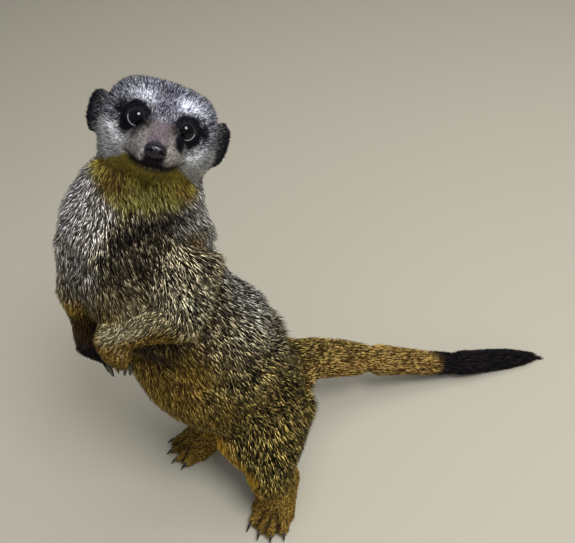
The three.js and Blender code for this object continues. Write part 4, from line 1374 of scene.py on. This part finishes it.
class CoatBuilder:
    """Grows the tufts on copies of parts of the skin."""

    KEPT = ("base", "pale", "dark", "share", "along", "strand", "OFBake")
    BUILT_IN = ("position", "sharp_face", "material_index")

    def __init__(self, skin: Skin, marks: Markings, finishes: Finishes) -> None:
        """Keeps what the patches are cut from."""
        self.skin, self.marks, self.finishes = skin, marks, finishes
        self.trees = {False: TuftTree(2).build("tufts_long"), True: TuftTree(1).build("tufts_short")}
        self.angle = np.abs(marks.trunk_angle())

    def chosen(self, patch: Patch) -> np.ndarray:
        """Which vertices of the skin a patch covers."""
        names = self.skin.flesh()
        wanted = [i for i, n in enumerate(names) if n.startswith(patch.nodes)]
        mine = np.isin(self.marks.labels, wanted)
        ahead = self.marks.local[:, 1]
        rules = {
            "all": mine,
            "front": mine & (ahead > 4),
            "rear": mine & ((ahead <= 4) | (self.marks.labels != names.index("head"))),
            "before": mine & (self.angle <= 90),
            "behind": mine & (self.angle > 90),
        }
        return rules[patch.where]

    def host(self, source: bpy.types.Mesh, patch: Patch) -> bpy.types.Object:
        """Copy of the skin's faces under a patch, with its own unwrap."""
        chosen = self.chosen(patch)
        made = bmesh.new()
        made.from_mesh(source)
        made.verts.ensure_lookup_table()
        drop = [f for f in made.faces if not chosen[f.verts[0].index]]
        bmesh.ops.delete(made, geom=drop, context="FACES")
        mesh = to_mesh(made, patch.name + "_host")
        mesh.uv_layers.new(name="chart")
        holder = link(patch.name + "_host", mesh)
        bpy.context.view_layer.objects.active = holder
        holder.select_set(True)
        bpy.ops.object.mode_set(mode="EDIT")
        bpy.ops.mesh.select_all(action="SELECT")
        bpy.ops.uv.smart_project(angle_limit=math.radians(66), island_margin=0.004)
        bpy.ops.object.mode_set(mode="OBJECT")
        holder.select_set(False)
        return holder

    def grow(self, source: bpy.types.Mesh, patch: Patch, number: int) -> bpy.types.Object:
        """Makes one piece of the coat.

        Args:
            source: the skin's mesh.
            patch: what is grown.
            number: the patch's number, which seeds it.

        Returns:
            The piece, as a plain mesh.
        """
        holder = self.host(source, patch)
        tree = self.trees[patch.fine]
        values = {
            "Thickness": patch.thickness,
            "Spread": patch.spread,
            "Clump": patch.clump,
            "Clump Size": patch.clump_size,
            "Seed": SEED + 100 * number,
            "Material": self.finishes.coat,
        }
        modifier = holder.modifiers.new("tufts", "NODES")
        modifier.node_group = tree
        for item in tree.interface.items_tree:
            if item.in_out == "INPUT" and item.name in values:
                modifier[item.identifier] = values[item.name]
        mesh = evaluated(holder)
        host_mesh = holder.data
        bpy.data.objects.remove(holder)
        bpy.data.meshes.remove(host_mesh)
        for name in [a.name for a in mesh.attributes]:
            if name not in self.KEPT + self.BUILT_IN and not name.startswith("."):
                mesh.attributes.remove(mesh.attributes[name])
        mesh.name = patch.name
        piece = link(patch.name, mesh)
        mesh.calc_loop_triangles()
        log.info("%s: %d triangles", patch.name, len(mesh.loop_triangles))
        return piece


# ---------------------------------------------------------------- eyes, nose and claws
class Details:
    """The hard and wet pieces: eyeballs, nose pad and claws.

    GLINT_TURN is where the painted reflection on the iris's edge lies, in degrees over the eye's outer corner.
    RINGS and SPOKES divide a claw, FULLNESS and FLATNESS are its height and width as shares of the
    CAD claw's, and BEND is how high it arches, as a share of its length.
    """

    GLINT_TURN = -48.0
    RINGS, SPOKES = 9, 12
    FULLNESS, FLATNESS, BEND = 1.12, 0.72, 0.16

    def __init__(self, skin: Skin, finishes: Finishes) -> None:
        """Keeps the head's places and makes the materials."""
        self.skin = skin
        self.eye_finish = finishes.make_eye()
        self.nose_finish = finishes.make_nose()
        self.claw_finish = finishes.make_claw()

    def eyeball(self, name: str, side: int) -> bpy.types.Object:
        """A ball with a raised cornea, whose pole looks ahead."""
        eyes, head = self.skin.eyes, self.skin.head
        made = bmesh.new()
        bmesh.ops.create_uvsphere(made, u_segments=64, v_segments=48, radius=1.0)
        mesh = to_mesh(made, f"eyeball_{name}")
        co = coordinates(mesh)
        polar = np.degrees(np.arccos(np.clip(co[:, 2], -1, 1)))
        ray = np.arctan2(co[:, 1], co[:, 0]) / (2 * math.pi) + 0.5
        bulge = 0.3 * smoothstep(polar, 50, 0)
        axis = head.turned(eyes.axis(side))
        out = unit(head.axes[0] - axis * (head.axes[0] @ axis))
        basis = np.stack([out, np.cross(axis, out), axis])
        place(mesh, node_centre(f"eye_{name}") + (co * (eyes.radius + bulge)[:, None]) @ basis * MM)
        set_attribute(mesh, "polar", polar)
        set_attribute(mesh, "ray", ray)
        turned = co @ basis
        around = np.arctan2(turned @ head.axes[2], turned @ head.axes[0] * side)
        # low: where the pale crescent of painted reflection lies, on the iris's lower outer edge.
        set_attribute(mesh, "low", smoothstep(np.cos(around - math.radians(self.GLINT_TURN)), 0.66, 0.9))
        mesh.shade_smooth()
        mesh.materials.append(self.eye_finish)
        return link(f"eyeball_{name}", mesh)

    def nose_pad(self) -> bpy.types.Object:
        """A rounded pad with two nostrils, their slits, and the groove below."""
        made = bmesh.new()
        bmesh.ops.create_icosphere(made, subdivisions=6, radius=1.0)
        mesh = to_mesh(made, "nose_pad")
        co = coordinates(mesh)
        x, ahead, up = co.T
        side = np.abs(x)
        front = smoothstep(ahead, 0.05, 0.5)
        hole = np.hypot((side - 0.5) / 0.2, (up + 0.12) / 0.24)
        slit = np.hypot((side - 0.74) / 0.2, (up + 0.2 + 0.25 * (side - 0.7)) / 0.09)
        pit = smoothstep(np.minimum(hole, slit), 1.25, 0.55) * smoothstep(ahead, -0.2, 0.3)
        groove = np.exp(-((x / 0.06) ** 2)) * smoothstep(up, 0.35, -0.1) * front
        wing = np.exp(-(((side - 0.6) / 0.22) ** 2) - ((up - 0.12) / 0.2) ** 2) * front
        scale = 1 - 0.42 * pit - 0.1 * groove + 0.06 * wing
        scale *= 1 - 0.1 * smoothstep(up, 0.4, 1.0)
        half = np.array(self.skin.nose_half) * 1.04
        place(mesh, node_centre("nose") + (co * scale[:, None] * half) @ self.skin.head.axes * MM)
        set_attribute(mesh, "pit", pit)
        mesh.shade_smooth()
        mesh.materials.append(self.nose_finish)
        return link("nose_pad", mesh)

    def claw(self, node: str) -> bpy.types.Object:
        """A curved claw, flat at its sides, along the CAD claw."""
        limb = node.replace("claw_", "").rsplit("_", 1)[0]
        co = coordinates(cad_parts[node].data)
        centre = co.mean(axis=0)
        axis = np.linalg.svd(co - centre)[2][0]
        if axis @ (centre - node_centre(limb)) < 0:
            axis = -axis
        run = (co - centre) @ axis
        base, tip = centre + axis * run.min(), centre + axis * run.max()
        length = float(run.max() - run.min())
        thick = float(np.linalg.norm((co - centre) - run[:, None] * axis, axis=1).max())
        side = unit(np.cross(axis, [0, 0, 1]))
        over = np.cross(side, axis)
        rings, spokes = self.RINGS, self.SPOKES
        verts, faces, alongs = [], [], []
        for i in range(rings):
            t = i / rings
            radius = thick * (1 - t) ** 0.55 * self.FULLNESS
            arch = over * length * self.BEND * math.sin(math.pi * min(t * 1.15, 1.0))
            middle = base + axis * length * t + arch
            for j in range(spokes):
                a = 2 * math.pi * j / spokes
                across = side * math.cos(a) * radius * self.FLATNESS
                verts.append(middle + across + over * math.sin(a) * radius)
                alongs.append(t)
        verts += [tip, base - axis * length * 0.02]
        alongs += [1.0, 0.0]
        for i in range(rings - 1):
            for j in range(spokes):
                a, b = i * spokes + j, i * spokes + (j + 1) % spokes
                faces.append((a, b, b + spokes, a + spokes))
        last = (rings - 1) * spokes
        for j in range(spokes):
            k = (j + 1) % spokes
            faces += [(last + j, last + k, rings * spokes), (k, j, rings * spokes + 1)]
        mesh = bpy.data.meshes.new(node.replace("claw", "nail"))
        mesh.from_pydata([tuple(v) for v in verts], [], faces)
        mesh.update()
        fixed = bmesh.new()
        fixed.from_mesh(mesh)
        bmesh.ops.recalc_face_normals(fixed, faces=fixed.faces)
        fixed.to_mesh(mesh)
        fixed.free()
        set_attribute(mesh, "along", np.array(alongs))
        mesh.shade_smooth()
        mesh.materials.append(self.claw_finish)
        return link(mesh.name, mesh)


# ---------------------------------------------------------------- studio
@dataclass
class Studio:
    """Floor, lights and camera. Angles in degrees, lengths in metres."""

    azimuth: float = 51.0
    elevation: float = 44.5
    roll: float = -6.0
    distance: float = 0.470
    from_nose: Triple = (-0.0443, 0.0980, -0.1712)
    middle: Triple = (0.0, 0.0, 0.14)
    lens: float = 43.2
    floor_size: float = 6.0
    floor_colour: Colour = (0.27, 0.252, 0.202, 1)
    air_colour: Colour = (0.93, 0.95, 1.0, 1)
    air_strength: float = 0.3

    def camera(self) -> None:
        """Places the camera above and ahead, on the animal's left."""
        a, e, r = (math.radians(v) for v in (self.azimuth, self.elevation, self.roll))
        back = Vector((math.sin(a) * math.cos(e), -math.cos(a) * math.cos(e), math.sin(e)))
        right = Vector((math.cos(a), math.sin(a), 0))
        up = back.cross(right)
        x = right * math.cos(r) + up * math.sin(r)
        y = -right * math.sin(r) + up * math.cos(r)
        data = bpy.data.cameras.new("camera")
        data.lens, data.sensor_width, data.sensor_fit = self.lens, 36.0, "HORIZONTAL"
        data.clip_start, data.clip_end = 0.01, 50.0
        made = bpy.data.objects.new("camera", data)
        spin = Matrix((x, y, back)).transposed().to_4x4()
        target = Vector(node_centre("nose")) + Vector(self.from_nose)
        made.matrix_world = Matrix.Translation(target + back * self.distance) @ spin
        bpy.context.scene.collection.objects.link(made)
        bpy.context.scene.camera = made

    def floor(self) -> None:
        """A pale plain floor."""
        half = self.floor_size / 2
        mesh = bpy.data.meshes.new("floor")
        corners = [(-half, -half, 0), (half, -half, 0), (half, half, 0), (-half, half, 0)]
        mesh.from_pydata(corners, [], [(0, 1, 2, 3)])
        material, _, shader = Finishes.blank("floor_pale")
        shader.inputs["Base Color"].default_value = self.floor_colour
        shader.inputs["Roughness"].default_value = 0.9
        mesh.materials.append(material)
        link("floor", mesh)

    def light(
        self, name: str, at: Triple, size: float, power: float, colour: Triple, mirrored: bool = False
    ) -> None:
        """A soft round light that points at the animal's middle, and may be mirrored in its eyes."""
        data = bpy.data.lights.new(name, "AREA")
        data.shape = "DISK"
        data.size, data.energy, data.color = size, power, colour
        made = bpy.data.objects.new(name, data)
        made.location = at
        made.rotation_euler = (Vector(self.middle) - Vector(at)).to_track_quat("-Z", "Y").to_euler()
        made.visible_glossy = mirrored
        bpy.context.scene.collection.objects.link(made)

    def build(self) -> None:
        """Makes the whole studio."""
        self.camera()
        self.floor()
        self.light("overhead", (0.3, 0.3, 1.45), 1.6, 26.0, (1.0, 0.985, 0.96))
        self.light("front", (1.0, -0.9, 0.8), 1.8, 9.0, (0.95, 0.97, 1.0))
        self.light("key", (0.5, -0.06, 1.05), 0.42, 12.0, (0.97, 0.98, 1.0), mirrored=True)
        world = bpy.data.worlds.new("studio_air")
        world.use_nodes = True
        air = world.node_tree.nodes["Background"]
        air.inputs["Color"].default_value = self.air_colour
        air.inputs["Strength"].default_value = self.air_strength
        bpy.context.scene.world = world
        bpy.context.scene.view_settings.view_transform = "Standard"


def dress(piece: bpy.types.Object, slot: str, *nodes: str) -> None:
    """Puts a finished piece on the body, in place of CAD nodes."""
    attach(piece, BODY)
    if nodes:
        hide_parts(*nodes)


def main() -> None:
    """Builds the pieces in order."""
    logging.basicConfig(level=logging.INFO, format="%(name)s: %(message)s", stream=sys.stdout)
    finishes = Finishes()
    skin = Skin()
    surface = skin.build()
    marks = Markings(skin, surface.data)
    marks.store()
    surface.data.materials.append(finishes.skin)
    surface.data.calc_loop_triangles()
    log.info("skin: %d triangles", len(surface.data.loop_triangles))
    coat = CoatBuilder(skin, marks, finishes)
    for number, patch in enumerate(PATCHES):
        dress(coat.grow(surface.data, patch, number), "coat")
    dress(surface, "coat", *skin.flesh())
    details = Details(skin, finishes)
    for name, side in SIDES.items():
        dress(details.eyeball(name, side), "eye", f"eye_{name}")
    dress(details.nose_pad(), "nose", "nose")
    for node in sorted(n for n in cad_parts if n.startswith("claw_")):
        dress(details.claw(node), "claw", node)
    Studio().build()


if __name__ == "__main__":
    main()
